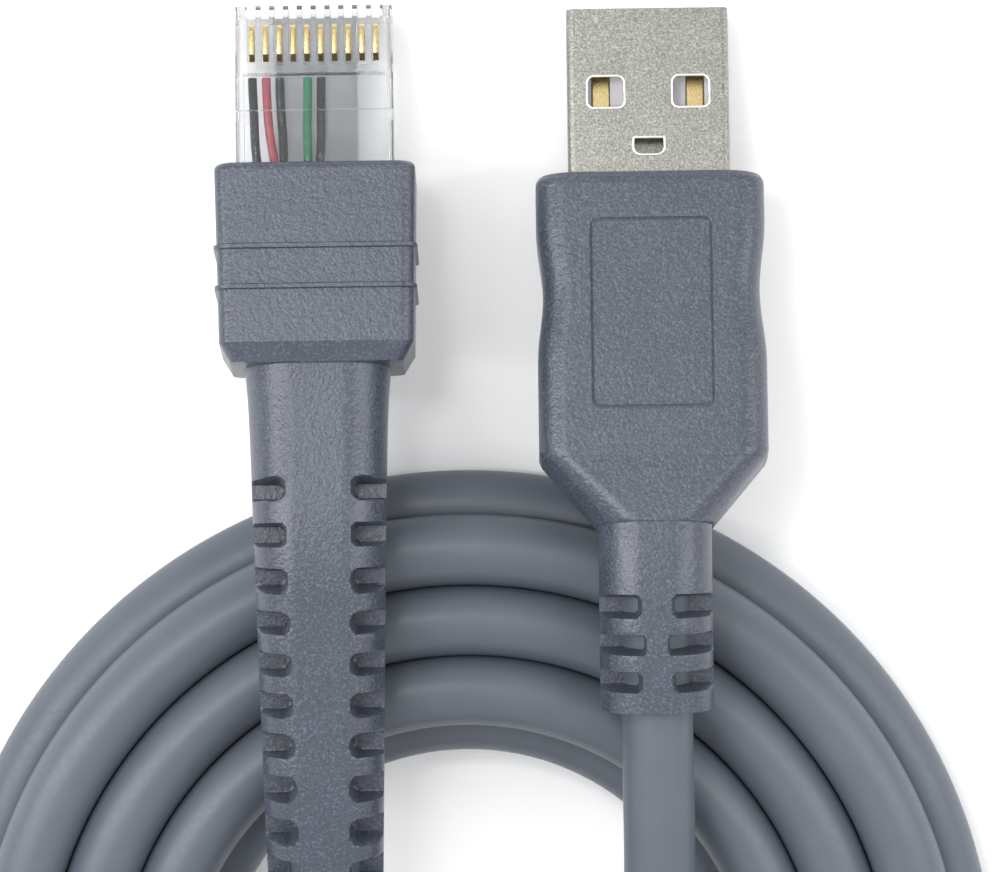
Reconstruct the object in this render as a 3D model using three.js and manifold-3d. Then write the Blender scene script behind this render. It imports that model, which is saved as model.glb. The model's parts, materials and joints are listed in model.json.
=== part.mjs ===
// Scanner-to-USB cable: a ten-way clear modular plug and a type A USB plug on one grey cable.
// The cable lies in a neat round coil, and both ends lean on the coil with their tips on the floor.
// Millimetres, +Z up, +Y from the coil towards the two plug tips.
import * as THREE from 'three';
import { mergeVertices } from 'three/addons/utils/BufferGeometryUtils.js';
import Module from 'manifold-3d';

const wasm = await Module();
wasm.setup();

// Cable and coil
const CABLE_DIAMETER = 5.3;
const COIL_OUTER_RADIUS = 39.8;
const COIL_BOTTOM_TURNS = 4;
const COIL_TOP_TURNS = 3;
const COIL_SIDES = 56;
const CABLE_SIDES = 12;
const FACE_GAP = 0.3;

// Fits between pieces that are moulded or pressed together
const SEAT_CLEARANCE = 0.15;
const FINE_CLEARANCE = 0.07;

// Overshoot of a cut past the face that it opens
const CUT_MARGIN = 1;

// Where the two ends lie: across from the coil's centre, and on from the coil's outer edge
const SCANNER_END_X = -11.5;
const SCANNER_TIP_PAST_COIL = 34.4;
const SCANNER_TILT = THREE.MathUtils.degToRad(15.4);
const USB_END_X = 13.2;
const USB_TIP_PAST_COIL = 34.2;
const USB_TILT = THREE.MathUtils.degToRad(17.0);
const END_YAW = THREE.MathUtils.degToRad(0.8);

// Modular plug
const PLUG_WIDTH = 11.68;
const PLUG_HEIGHT = 6.6;
const PLUG_EXPOSED = 11.9;
const PLUG_SEATED = 3.2;
const CONTACT_COUNT = 10;
const CONTACT_PITCH = 1.02;
const COMB_SLOT_WIDTH = 0.62;
const COMB_SLOT_LENGTH = 4.2;
const COMB_SLOT_DEPTH = 2.3;
const COMB_NOTCH = 0.6;
const BLADE_WIDTH = 0.42;
const BLADE_FRONT = 1.3;
const BLADE_LENGTH = 2.75;
const BLADE_HEIGHT = 1.75;
const BLADE_BELOW_TOP = 0.35;
const BLADE_CORNER = 0.5;
const PLUG_CORNER = 0.5;
const WIRE_DIAMETER = 0.66;
const WIRE_CAVITY_WIDTH = 10.5;
const WIRE_CAVITY_HEIGHT = 1.5;
const WIRE_CAVITY_FRONT = 4.9;
const WIRE_CAVITY_TOP = 2.4;
const GROOVE_FROM_TIP = 7.8;
const GROOVE_WIDTH = 0.8;
const GROOVE_DEPTH = 0.3;
const LATCH_WIDTH = 6.2;
const LATCH_THICKNESS = 1.1;
const LATCH_LENGTH = 10.4;
const LATCH_ROOT = 1.2;
const LATCH_ANGLE = THREE.MathUtils.degToRad(15);

// Overmould on the scanner end: a head block with two ribs and a long slotted boot
const HEAD_WIDTH = 14.8;
const HEAD_REAR_WIDTH = 14.25;
const HEAD_THICKNESS = 10.4;
const HEAD_LENGTH = 14.9;
const HEAD_CORNER = 1.0;
const HEAD_FRONT_ROUND = 0.55;
const HEAD_LIP_LENGTH = 1.5;
const HEAD_LIP_INSET = 0.75;
const HEAD_END_STEP = 0.12;
const RIB_WIDTH = 0.45;
const RIB_PROUD = 0.22;
const RIB_PLACES = [6.3, 9.3];
const BOOT_WIDTH = 10.35;
const BOOT_END_WIDTH = 8.5;
const BOOT_FLARE = 0.45;
const BOOT_FLARE_LENGTH = 2.2;
const BOOT_THICKNESS_RATIO = 0.78;
const BOOT_CORNER_SHARE = 0.42;
const BOOT_LENGTH = 39.2;
const BOOT_SLOT_PAIRS = 10;
const BOOT_SLOT_PITCH = 3.06;
const BOOT_SLOT_FIRST = 9.1;
const BOOT_SLOT_WIDTH = 1.5;
const BOOT_SLOT_END_WIDTH = 1.85;
const BOOT_SLOT_INNER = 2.45;
const BOOT_SLOT_END_INNER = 1.85;
const BOOT_SLOT_ROUND_SHARE = 0.42;
const BOOT_WEB = 1.5;

// The boot bends level behind its start, and droops into the coil near its end.
const BOOT_BEND_FROM_START = 8.7;
const BOOT_BEND_LENGTH = 7.4;
const BOOT_DROOP_LENGTH = 9.5;
const BOOT_DROOP = THREE.MathUtils.degToRad(16);
const BOOT_END_STRAIGHT = 0.6;

// USB plug
const SHELL_WIDTH = 12.0;
const SHELL_HEIGHT = 4.5;
const SHELL_WALL = 0.3;
const SHELL_CORNER = 0.5;
const SHELL_EXPOSED = 12.5;
const SHELL_SEATED = 4.0;
const WINDOW_WIDTH = 2.85;
const WINDOW_LENGTH = 2.5;
const WINDOW_CORNER = 0.5;
const WINDOW_FROM_TIP = 6.3;
const WINDOW_SPACING = 6.3;
const CATCH_WIDTH = 2.4;
const CATCH_LENGTH = 1.4;
const CATCH_FROM_TIP = 10.4;
const CATCH_CORNER = 0.6;
const CATCH_DROP = 0.55;
const CATCH_TAB_SIDE_GAP = 0.45;
const CATCH_TAB_ROOT = 0.1;
const TONGUE_THICKNESS = 1.85;
const TONGUE_FRONT = 0.8;
const TONGUE_BLOCK_FROM_TIP = 11.9;
const USB_CONTACTS = [-3.5, -1.0, 1.0, 3.5];
const USB_CONTACT_WIDTH = 1.25;
const USB_CONTACT_THICKNESS = 0.3;
const USB_CONTACT_LENGTH = 9.8;
const USB_CONTACT_FRONT = 1.4;

// Overmould on the USB end: a grip with hollowed sides, a sunk panel, and a slotted relief
const GRIP_WIDTH = 16.9;
const GRIP_WAIST = 0.45;
const WAIST_START = 3.6;
const WAIST_LENGTH = 10.6;
const GRIP_SHOULDER_EDGE = 0.5;
const SHOULDER_STEP = 0.25;
const GRIP_THICKNESS = 8.2;
const GRIP_LENGTH = 21.4;
const GRIP_SHOULDER = 4.7;
const GRIP_FRONT_ROUND = 0.9;
const GRIP_CORNER = 2.1;
const PANEL_WIDTH = 8.95;
const PANEL_LENGTH = 14.1;
const PANEL_FROM_FRONT = 3.6;
const PANEL_CORNER = 0.6;
const PANEL_DEPTH = 0.3;
const RELIEF_DIAMETER = 8.35;
const RELIEF_CORNER = 3.1;
const RELIEF_LENGTH = 13.2;
const RELIEF_SLOT_ROWS = [5.6, 8.15, 10.85];
const RELIEF_SLOT_WIDTH = 1.4;
const RELIEF_SLOT_INNER = [1.2, 0.8, 1.2];
const RELIEF_SLOT_ROUND_SHARE = 0.35;
const RELIEF_WEB = 2.0;
const RELIEF_CORE_INSET = 1;
const USB_BEND_AHEAD_OF_RELIEF = 0.8;
const USB_BEND_LENGTH = 9.0;

// Free cable: how far each curve leads on from its moulded end, and where it meets the coil
const SCANNER_TAIL_LEAD = 9;
const SCANNER_TAIL_SIDE_GAP = 0.42;
const SCANNER_TAIL_ABOVE_FLOOR = 0.1;
const SCANNER_TAIL_END_ANGLE = THREE.MathUtils.degToRad(-114);
const SCANNER_TAIL_END_HEADING = THREE.MathUtils.degToRad(-24);
const USB_TAIL_LEAD = 14;
const USB_TAIL_INSIDE_COIL = 0.5;
const USB_TAIL_ABOVE_TOP_TURN = 1.1;
const USB_TAIL_END_ANGLE = THREE.MathUtils.degToRad(-62.5);
const USB_TAIL_END_HEADING = THREE.MathUtils.degToRad(-127);
const SCANNER_TAIL_LANDING_SHARE = 0.48;
const USB_TAIL_LANDING_SHARE = 0.65;

const GREY = { color: 0x6b7080, roughness: 0.55, metalness: 0 };
const CABLE_GREY = { color: 0x74787e, roughness: 0.5, metalness: 0 };
const CLEAR = { color: 0xd9dde0, roughness: 0.1, metalness: 0, transparent: true, opacity: 0.45 };
const GOLD = { color: 0xb89a50, roughness: 0.3, metalness: 1 };
const STEEL = { color: 0x9c9c94, roughness: 0.35, metalness: 1 };
const WHITE = { color: 0xe2e0e2, roughness: 0.5, metalness: 0 };
const WIRE_COLOURS = { black: 0x25272c, red: 0xbb4a5c, green: 0x1e7d50 };

// Geometry helpers

function toSolid(geometry) {
  const bare = geometry.clone();
  bare.deleteAttribute('normal');
  bare.deleteAttribute('uv');
  const merged = mergeVertices(bare, 1e-5);
  const vertProperties = new Float32Array(merged.attributes.position.array);
  const triVerts = new Uint32Array(merged.index.array);
  return new wasm.Manifold(new wasm.Mesh({ numProp: 3, vertProperties, triVerts }));
}

function toGeometry(solid) {
  const mesh = solid.getMesh();
  const geometry = new THREE.BufferGeometry();
  geometry.setAttribute('position', new THREE.BufferAttribute(mesh.vertProperties, 3));
  geometry.setIndex(new THREE.BufferAttribute(mesh.triVerts, 1));
  return geometry;
}

// A lathe profile that runs the other way round gives inward faces, and this turns them out.
function facingOut(geometry) {
  const bare = geometry.clone();
  bare.deleteAttribute('normal');
  bare.deleteAttribute('uv');
  const merged = mergeVertices(bare, 1e-5);
  const place = merged.attributes.position;
  const index = merged.index.array;
  const a = new THREE.Vector3();
  const b = new THREE.Vector3();
  const c = new THREE.Vector3();
  let volume = 0;
  for (let i = 0; i < index.length; i += 3) {
    a.fromBufferAttribute(place, index[i]);
    b.fromBufferAttribute(place, index[i + 1]);
    c.fromBufferAttribute(place, index[i + 2]);
    volume += a.dot(b.cross(c));
  }
  if (volume < 0) {
    for (let i = 0; i < index.length; i += 3) {
      const kept = index[i];
      index[i] = index[i + 1];
      index[i + 1] = kept;
    }
  }
  return merged;
}

function mesh(name, geometry, look) {
  geometry.computeVertexNormals();
  const part = new THREE.Mesh(geometry, new THREE.MeshStandardMaterial(look));
  part.name = name;
  return part;
}

function roundedRectangle(width, height, radius) {
  const shape = new THREE.Shape();
  const x = width / 2 - radius;
  const y = height / 2 - radius;
  shape.absarc(x, y, radius, 0, Math.PI / 2);
  shape.absarc(-x, y, radius, Math.PI / 2, Math.PI);
  shape.absarc(-x, -y, radius, Math.PI, 1.5 * Math.PI);
  shape.absarc(x, -y, radius, 1.5 * Math.PI, 2 * Math.PI);
  return shape;
}

// A flat outline in x and y, raised from z = low to z = high.
function upright(shape, low, high, curveSegments = 4) {
  const geometry = new THREE.ExtrudeGeometry(shape, {
    depth: high - low, bevelEnabled: false, curveSegments,
  });
  geometry.translate(0, 0, low);
  return toSolid(geometry);
}

// A cross-section in x and z, carried from y = front back to y = rear.
function lengthwise(shape, front, rear, curveSegments = 3) {
  const geometry = new THREE.ExtrudeGeometry(shape, {
    depth: front - rear, bevelEnabled: false, curveSegments,
  });
  geometry.rotateX(Math.PI / 2);
  geometry.translate(0, front, 0);
  return toSolid(geometry);
}

function block(low, high) {
  const size = high.map((value, axis) => value - low[axis]);
  const geometry = new THREE.BoxGeometry(...size);
  geometry.translate(low[0] + size[0] / 2, low[1] + size[1] / 2, low[2] + size[2] / 2);
  return toSolid(geometry);
}

// Rounded rectangles of [y, width, height, corner], joined one after another along the y axis.
function lofted(stations, cornerSteps) {
  const perCorner = cornerSteps + 1;
  const sides = 4 * perCorner;
  const profile = [new THREE.Vector2(0, stations[0][0])];
  for (const [y] of stations) profile.push(new THREE.Vector2(1, y));
  profile.push(new THREE.Vector2(0, stations[stations.length - 1][0]));
  const geometry = new THREE.LatheGeometry(profile, sides);
  const place = geometry.attributes.position;
  for (let i = 0; i < place.count; i += 1) {
    const row = (i % profile.length) - 1;
    if (row < 0 || row >= stations.length) {
      place.setXYZ(i, 0, place.getY(i), 0);
      continue;
    }
    const side = Math.floor(i / profile.length) % sides;
    const quarter = Math.floor(side / perCorner);
    const angle = (quarter + (side % perCorner) / cornerSteps) * (Math.PI / 2);
    const [, width, height, corner] = stations[row];
    const right = quarter === 0 || quarter === 1 ? 1 : -1;
    const up = quarter === 0 || quarter === 3 ? 1 : -1;
    place.setX(i, right * (width / 2 - corner) + corner * Math.sin(angle));
    place.setZ(i, up * (height / 2 - corner) + corner * Math.cos(angle));
  }
  return toSolid(facingOut(geometry));
}

// Stations of a rounded front edge, from the front face back to the full section.
function roundedFront(y, width, height, corner, round) {
  const steps = 3;
  const stations = [];
  for (let i = 0; i <= steps; i += 1) {
    const angle = (i / steps) * (Math.PI / 2);
    const inset = round * (1 - Math.sin(angle));
    const back = round * (1 - Math.cos(angle));
    stations.push([y - back, width - 2 * inset, height - 2 * inset, corner]);
  }
  return stations;
}

// The centre line of one end, in its tilted frame: each stretch has a length and turns down by an angle.
function alongAxis(stretches, distance) {
  let y = 0;
  let z = 0;
  let angle = 0;
  let left = distance;
  for (const { length, turn } of stretches) {
    const run = Math.min(left, length);
    if (turn === 0) {
      y -= run * Math.cos(angle);
      z -= run * Math.sin(angle);
    } else {
      const radius = length / turn;
      const next = angle + run / radius;
      y -= radius * (Math.sin(next) - Math.sin(angle));
      z -= radius * (Math.cos(angle) - Math.cos(next));
      angle = next;
    }
    left -= run;
    if (left <= 0) break;
  }
  return { y, z, angle };
}

// Bends a straight form, which runs from y = 0 towards -y, onto that centre line.
function bentAlong(geometry, stretches) {
  const place = geometry.attributes.position;
  for (let i = 0; i < place.count; i += 1) {
    if (place.getY(i) >= 0) continue;
    const centre = alongAxis(stretches, -place.getY(i));
    const rise = place.getZ(i);
    place.setY(i, centre.y - rise * Math.sin(centre.angle));
    place.setZ(i, centre.z + rise * Math.cos(centre.angle));
  }
  return geometry;
}

function tube(path, diameter, sides, steps) {
  const section = new THREE.Shape();
  section.absarc(0, 0, diameter / 2, 0, 2 * Math.PI);
  const geometry = new THREE.ExtrudeGeometry(section, {
    steps, curveSegments: sides, extrudePath: path, bevelEnabled: false,
  });
  return facingOut(geometry);
}

// Modular plug

const contactX = (index) => (index - (CONTACT_COUNT - 1) / 2) * CONTACT_PITCH;
const PLUG_TOP = PLUG_HEIGHT / 2;
const PLUG_REAR = PLUG_EXPOSED + PLUG_SEATED;

function plugHousing() {
  const section = roundedRectangle(PLUG_WIDTH, PLUG_HEIGHT, PLUG_CORNER);
  let body = lengthwise(section, 0, -PLUG_REAR);
  const combWidth = CONTACT_COUNT * CONTACT_PITCH;
  const slotFloor = PLUG_TOP - COMB_SLOT_DEPTH;
  body = body.subtract(block(
    [-combWidth / 2, -COMB_NOTCH, -PLUG_HEIGHT], [combWidth / 2, CUT_MARGIN, slotFloor],
  ));
  for (let i = 0; i < CONTACT_COUNT; i += 1) {
    const x = contactX(i);
    body = body.subtract(block(
      [x - COMB_SLOT_WIDTH / 2, -COMB_SLOT_LENGTH, slotFloor],
      [x + COMB_SLOT_WIDTH / 2, CUT_MARGIN, PLUG_HEIGHT],
    ));
  }
  body = body.subtract(block(
    [-WIRE_CAVITY_WIDTH / 2, -PLUG_REAR - CUT_MARGIN, WIRE_CAVITY_TOP - WIRE_CAVITY_HEIGHT],
    [WIRE_CAVITY_WIDTH / 2, -WIRE_CAVITY_FRONT, WIRE_CAVITY_TOP],
  ));
  body = body.subtract(block(
    [-PLUG_WIDTH, -GROOVE_FROM_TIP - GROOVE_WIDTH, PLUG_TOP - GROOVE_DEPTH],
    [PLUG_WIDTH, -GROOVE_FROM_TIP, PLUG_HEIGHT],
  ));
  const latch = new THREE.BoxGeometry(LATCH_WIDTH, LATCH_LENGTH, LATCH_THICKNESS);
  latch.translate(0, -LATCH_LENGTH / 2, -LATCH_THICKNESS / 2);
  latch.rotateX(LATCH_ANGLE);
  latch.translate(0, -COMB_NOTCH, -PLUG_TOP + LATCH_THICKNESS / 2);
  const root = block(
    [-LATCH_WIDTH / 2, -COMB_NOTCH - LATCH_ROOT, -PLUG_TOP - LATCH_THICKNESS / 2],
    [LATCH_WIDTH / 2, -COMB_NOTCH, -PLUG_TOP + LATCH_THICKNESS / 2],
  );
  return toGeometry(body.add(toSolid(latch)).add(root));
}

function plugContact(index) {
  const shape = new THREE.Shape();
  const top = PLUG_TOP - BLADE_BELOW_TOP;
  const bottom = top - BLADE_HEIGHT;
  const rear = -BLADE_FRONT - BLADE_LENGTH;
  const round = BLADE_CORNER;
  shape.moveTo(-BLADE_FRONT, bottom);
  shape.absarc(-BLADE_FRONT - round, top - round, round, 0, Math.PI / 2);
  shape.lineTo(rear + round, top);
  shape.lineTo(rear, top - round);
  shape.lineTo(rear, bottom);
  const geometry = new THREE.ExtrudeGeometry(shape, {
    depth: BLADE_WIDTH, bevelEnabled: false, curveSegments: 3,
  });
  geometry.rotateY(Math.PI / 2);
  geometry.rotateX(Math.PI / 2);
  geometry.translate(contactX(index) - BLADE_WIDTH / 2, 0, 0);
  return facingOut(geometry);
}

// Each wire keeps its contact's lane at the front and drifts towards the cable at the rear.
const WIRES = [
  { name: 'plug_wire_black_1', colour: 'black', lane: 0, drift: 0.6 },
  { name: 'plug_wire_red', colour: 'red', lane: 1, drift: 0.95 },
  { name: 'plug_wire_black_2', colour: 'black', lane: 2, drift: 0.5 },
  { name: 'plug_wire_green', colour: 'green', lane: 4, drift: -0.15 },
  { name: 'plug_wire_black_3', colour: 'black', lane: 5, drift: -0.3 },
];

function plugWire({ lane, drift }) {
  const x = contactX(lane);
  const z = WIRE_CAVITY_TOP - WIRE_CAVITY_HEIGHT / 2;
  const front = -WIRE_CAVITY_FRONT - FACE_GAP;
  const rear = -PLUG_REAR + FACE_GAP;
  const path = new THREE.CatmullRomCurve3([[0, 0], [0.1, 0.3], [0.45, 0.6], [1, 1]].map(
    ([sideways, back]) => new THREE.Vector3(x + sideways * drift, front + (rear - front) * back, z),
  ));
  return tube(path, WIRE_DIAMETER, 4, 8);
}

// Scanner end overmould

const HEAD_FRONT = PLUG_EXPOSED;
const HEAD_REAR = HEAD_FRONT + HEAD_LENGTH;
const BOOT_START = HEAD_REAR;
const BOOT_END = BOOT_START + BOOT_LENGTH;
const BOOT_BENT = BOOT_BEND_FROM_START + BOOT_BEND_LENGTH + BOOT_DROOP_LENGTH + BOOT_END_STRAIGHT;
const SCANNER_AXIS = [
  { length: BOOT_START + BOOT_BEND_FROM_START, turn: 0 },
  { length: BOOT_BEND_LENGTH, turn: SCANNER_TILT },
  { length: BOOT_LENGTH - BOOT_BENT, turn: 0 },
  { length: BOOT_DROOP_LENGTH, turn: BOOT_DROOP },
  { length: Infinity, turn: 0 },
];

function bootHalfWidth(fromStart) {
  const share = Math.min(fromStart / BOOT_LENGTH, 1);
  const flare = BOOT_FLARE * Math.exp(-fromStart / BOOT_FLARE_LENGTH);
  return (BOOT_WIDTH + (BOOT_END_WIDTH - BOOT_WIDTH) * share) / 2 + flare / 2;
}

function headWidth(fromFront) {
  return HEAD_WIDTH + (HEAD_REAR_WIDTH - HEAD_WIDTH) * (fromFront / HEAD_LENGTH);
}

function headStations() {
  const stations = roundedFront(-HEAD_FRONT, HEAD_WIDTH, HEAD_THICKNESS, HEAD_CORNER, HEAD_FRONT_ROUND);
  const slope = RIB_WIDTH / 4;
  for (const place of RIB_PLACES) {
    const width = headWidth(place);
    const proud = 2 * RIB_PROUD;
    const front = -HEAD_FRONT - place + RIB_WIDTH / 2;
    const rear = front - RIB_WIDTH;
    stations.push([front, width, HEAD_THICKNESS, HEAD_CORNER]);
    stations.push([front - slope, width + proud, HEAD_THICKNESS + proud, HEAD_CORNER + RIB_PROUD]);
    stations.push([rear + slope, width + proud, HEAD_THICKNESS + proud, HEAD_CORNER + RIB_PROUD]);
    stations.push([rear, width, HEAD_THICKNESS, HEAD_CORNER]);
  }
  const lipFront = HEAD_LENGTH - HEAD_LIP_LENGTH;
  stations.push([-HEAD_FRONT - lipFront, headWidth(lipFront), HEAD_THICKNESS, HEAD_CORNER]);
  const inset = 2 * HEAD_LIP_INSET;
  stations.push([-HEAD_REAR + HEAD_END_STEP, HEAD_REAR_WIDTH - inset, HEAD_THICKNESS - inset, HEAD_CORNER]);
  return stations;
}

function bootStations() {
  const stationCount = 20;
  const stations = [];
  for (let i = 0; i <= stationCount; i += 1) {
    const fromStart = (BOOT_LENGTH * i) / stationCount;
    const width = 2 * bootHalfWidth(fromStart);
    const height = width * BOOT_THICKNESS_RATIO;
    stations.push([-BOOT_START - fromStart, width, height, height * BOOT_CORNER_SHARE]);
  }
  return stations;
}

function bootSlots() {
  const slots = [];
  for (let pair = 0; pair < BOOT_SLOT_PAIRS; pair += 1) {
    const share = pair / (BOOT_SLOT_PAIRS - 1);
    const width = BOOT_SLOT_WIDTH + (BOOT_SLOT_END_WIDTH - BOOT_SLOT_WIDTH) * share;
    const inner = BOOT_SLOT_INNER + (BOOT_SLOT_END_INNER - BOOT_SLOT_INNER) * share;
    const y = -BOOT_START - BOOT_SLOT_FIRST - pair * BOOT_SLOT_PITCH;
    for (const side of [-1, 1]) {
      const length = BOOT_WIDTH;
      const shape = roundedRectangle(length, width, width * BOOT_SLOT_ROUND_SHARE);
      for (const [low, high] of [[BOOT_WEB / 2, BOOT_WIDTH], [-BOOT_WIDTH, -BOOT_WEB / 2]]) {
        slots.push(upright(shape, low, high, 3).translate([side * (inner + length / 2), y, 0]));
      }
    }
  }
  return slots;
}

function scannerOvermould() {
  let body = lofted([...headStations(), ...bootStations()], 5);
  for (const slot of bootSlots()) body = body.subtract(slot);
  const seat = roundedRectangle(
    PLUG_WIDTH + 2 * SEAT_CLEARANCE, PLUG_HEIGHT + 2 * SEAT_CLEARANCE, PLUG_CORNER + SEAT_CLEARANCE,
  );
  body = body.subtract(lengthwise(seat, -HEAD_FRONT + CUT_MARGIN, -PLUG_REAR - SEAT_CLEARANCE));
  return bentAlong(toGeometry(body), SCANNER_AXIS);
}

// USB plug

function usbShell() {
  const outer = roundedRectangle(SHELL_WIDTH, SHELL_HEIGHT, SHELL_CORNER);
  const innerWidth = SHELL_WIDTH - 2 * SHELL_WALL;
  const innerHeight = SHELL_HEIGHT - 2 * SHELL_WALL;
  const inner = roundedRectangle(innerWidth, innerHeight, SHELL_CORNER - SHELL_WALL);
  const length = SHELL_EXPOSED + SHELL_SEATED;
  let shell = lengthwise(outer, 0, -length).subtract(lengthwise(inner, CUT_MARGIN, -length - CUT_MARGIN));
  const window = roundedRectangle(WINDOW_WIDTH, WINDOW_LENGTH, WINDOW_CORNER);
  for (const side of [-1, 1]) {
    const place = [side * (WINDOW_SPACING / 2), -WINDOW_FROM_TIP, 0];
    shell = shell.subtract(upright(window, -SHELL_HEIGHT, SHELL_HEIGHT).translate(place));
  }
  const catchHole = new THREE.Shape();
  const half = CATCH_WIDTH / 2;
  catchHole.moveTo(-half, 0);
  catchHole.lineTo(half, 0);
  const corner = CATCH_CORNER;
  catchHole.absarc(half - corner, -CATCH_LENGTH + corner, corner, 0, -Math.PI / 2, true);
  catchHole.absarc(-half + corner, -CATCH_LENGTH + corner, corner, -Math.PI / 2, -Math.PI, true);
  const catchFront = -CATCH_FROM_TIP + CATCH_LENGTH / 2;
  shell = shell.subtract(upright(catchHole, 0, SHELL_HEIGHT).translate([0, catchFront, 0]));
  const tab = new THREE.BoxGeometry(CATCH_WIDTH - 2 * CATCH_TAB_SIDE_GAP, CATCH_LENGTH, SHELL_WALL);
  tab.translate(0, CATCH_LENGTH / 2, 0);
  tab.rotateX(-Math.atan2(CATCH_DROP, CATCH_LENGTH));
  tab.translate(0, catchFront - CATCH_LENGTH - CATCH_TAB_ROOT, SHELL_HEIGHT / 2 - SHELL_WALL * 0.6);
  return toGeometry(shell.add(toSolid(tab)));
}

const TONGUE_TOP = -SHELL_HEIGHT / 2 + SHELL_WALL + SEAT_CLEARANCE + TONGUE_THICKNESS;

function usbInsulator() {
  const width = SHELL_WIDTH / 2 - SHELL_WALL - SEAT_CLEARANCE;
  const bottom = TONGUE_TOP - TONGUE_THICKNESS;
  const rear = -SHELL_EXPOSED - SHELL_SEATED + SEAT_CLEARANCE;
  let body = block([-width, rear, bottom], [width, -TONGUE_FRONT, TONGUE_TOP]);
  body = body.add(block([-width, rear, bottom], [width, -TONGUE_BLOCK_FROM_TIP, -bottom]));
  const half = USB_CONTACT_WIDTH / 2 + FINE_CLEARANCE;
  const floor = TONGUE_TOP - USB_CONTACT_THICKNESS / 2 - FINE_CLEARANCE;
  for (const x of USB_CONTACTS) {
    body = body.subtract(block(
      [x - half, -USB_CONTACT_FRONT - USB_CONTACT_LENGTH - FINE_CLEARANCE, floor],
      [x + half, -USB_CONTACT_FRONT + FINE_CLEARANCE, TONGUE_TOP + CUT_MARGIN],
    ));
  }
  return toGeometry(body);
}

function usbContact(x) {
  const geometry = new THREE.BoxGeometry(USB_CONTACT_WIDTH, USB_CONTACT_LENGTH, USB_CONTACT_THICKNESS);
  geometry.translate(x, -USB_CONTACT_FRONT - USB_CONTACT_LENGTH / 2, TONGUE_TOP);
  return facingOut(geometry);
}

// USB end overmould

const GRIP_FRONT = SHELL_EXPOSED;
const GRIP_REAR = GRIP_FRONT + GRIP_LENGTH;
const RELIEF_START = GRIP_REAR + GRIP_SHOULDER;
const RELIEF_END = RELIEF_START + RELIEF_LENGTH;
const USB_AXIS = [
  { length: RELIEF_START - USB_BEND_AHEAD_OF_RELIEF, turn: 0 },
  { length: USB_BEND_LENGTH, turn: USB_TILT },
  { length: Infinity, turn: 0 },
];

// The grip's sides dip in to a waist between two straight stretches, then slant in at the shoulder.
function gripStations() {
  const waist = GRIP_WIDTH - 2 * GRIP_WAIST;
  const stations = roundedFront(-GRIP_FRONT, GRIP_WIDTH, GRIP_THICKNESS, GRIP_CORNER, GRIP_FRONT_ROUND);
  const steps = 8;
  for (let i = 0; i <= steps; i += 1) {
    const share = i / steps;
    const dip = (1 - Math.cos(share * 2 * Math.PI)) / 2;
    const y = -GRIP_FRONT - WAIST_START - WAIST_LENGTH * share;
    stations.push([y, GRIP_WIDTH + (waist - GRIP_WIDTH) * dip, GRIP_THICKNESS, GRIP_CORNER]);
  }
  const edge = GRIP_SHOULDER_EDGE;
  stations.push([-GRIP_REAR + edge, GRIP_WIDTH, GRIP_THICKNESS, GRIP_CORNER]);
  stations.push([-GRIP_REAR, GRIP_WIDTH - edge, GRIP_THICKNESS, GRIP_CORNER]);
  const flat = RELIEF_DIAMETER + SHOULDER_STEP;
  stations.push([-RELIEF_START, flat, flat, RELIEF_CORNER]);
  return stations;
}

function reliefStations() {
  const stationCount = 7;
  const stations = [];
  for (let i = 0; i <= stationCount; i += 1) {
    const y = -RELIEF_START - FINE_CLEARANCE - ((RELIEF_LENGTH - FINE_CLEARANCE) * i) / stationCount;
    stations.push([y, RELIEF_DIAMETER, RELIEF_DIAMETER, RELIEF_CORNER]);
  }
  return stations;
}

function reliefSlots() {
  const slots = [];
  RELIEF_SLOT_ROWS.forEach((place, row) => {
    const inner = RELIEF_SLOT_INNER[row];
    const length = RELIEF_DIAMETER;
    const shape = roundedRectangle(length, RELIEF_SLOT_WIDTH, RELIEF_SLOT_WIDTH * RELIEF_SLOT_ROUND_SHARE);
    for (const side of [-1, 1]) {
      for (const [low, high] of [[RELIEF_WEB / 2, RELIEF_DIAMETER], [-RELIEF_DIAMETER, -RELIEF_WEB / 2]]) {
        const move = [side * (inner + length / 2), -RELIEF_START - place, 0];
        slots.push(upright(shape, low, high, 3).translate(move));
      }
    }
  });
  return slots;
}

function usbOvermould() {
  let body = lofted([...gripStations(), ...reliefStations()], 5);
  const panel = roundedRectangle(PANEL_WIDTH, PANEL_LENGTH, PANEL_CORNER);
  const panelY = -GRIP_FRONT - PANEL_FROM_FRONT - PANEL_LENGTH / 2;
  const panelFloor = GRIP_THICKNESS / 2 - PANEL_DEPTH;
  body = body.subtract(upright(panel, panelFloor, GRIP_THICKNESS).translate([0, panelY, 0]));
  for (const slot of reliefSlots()) body = body.subtract(slot);
  const core = [-RELIEF_START + RELIEF_CORE_INSET, -RELIEF_END + RELIEF_CORE_INSET].map(
    (y) => [y, CABLE_DIAMETER, CABLE_DIAMETER, CABLE_DIAMETER / 2],
  );
  body = body.add(lofted(core, 5));
  const seat = roundedRectangle(
    SHELL_WIDTH + 2 * SEAT_CLEARANCE, SHELL_HEIGHT + 2 * SEAT_CLEARANCE, SHELL_CORNER + SEAT_CLEARANCE,
  );
  const seatRear = -GRIP_FRONT - SHELL_SEATED - SEAT_CLEARANCE;
  body = body.subtract(lengthwise(seat, -GRIP_FRONT + CUT_MARGIN, seatRear));
  return bentAlong(toGeometry(body), USB_AXIS);
}

// Coil: the outer shape of a lower layer of turns with an upper layer lying in its grooves

const HALF = CABLE_DIAMETER / 2;
const LAYER_RISE = CABLE_DIAMETER * Math.sin(Math.PI / 3);

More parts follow.
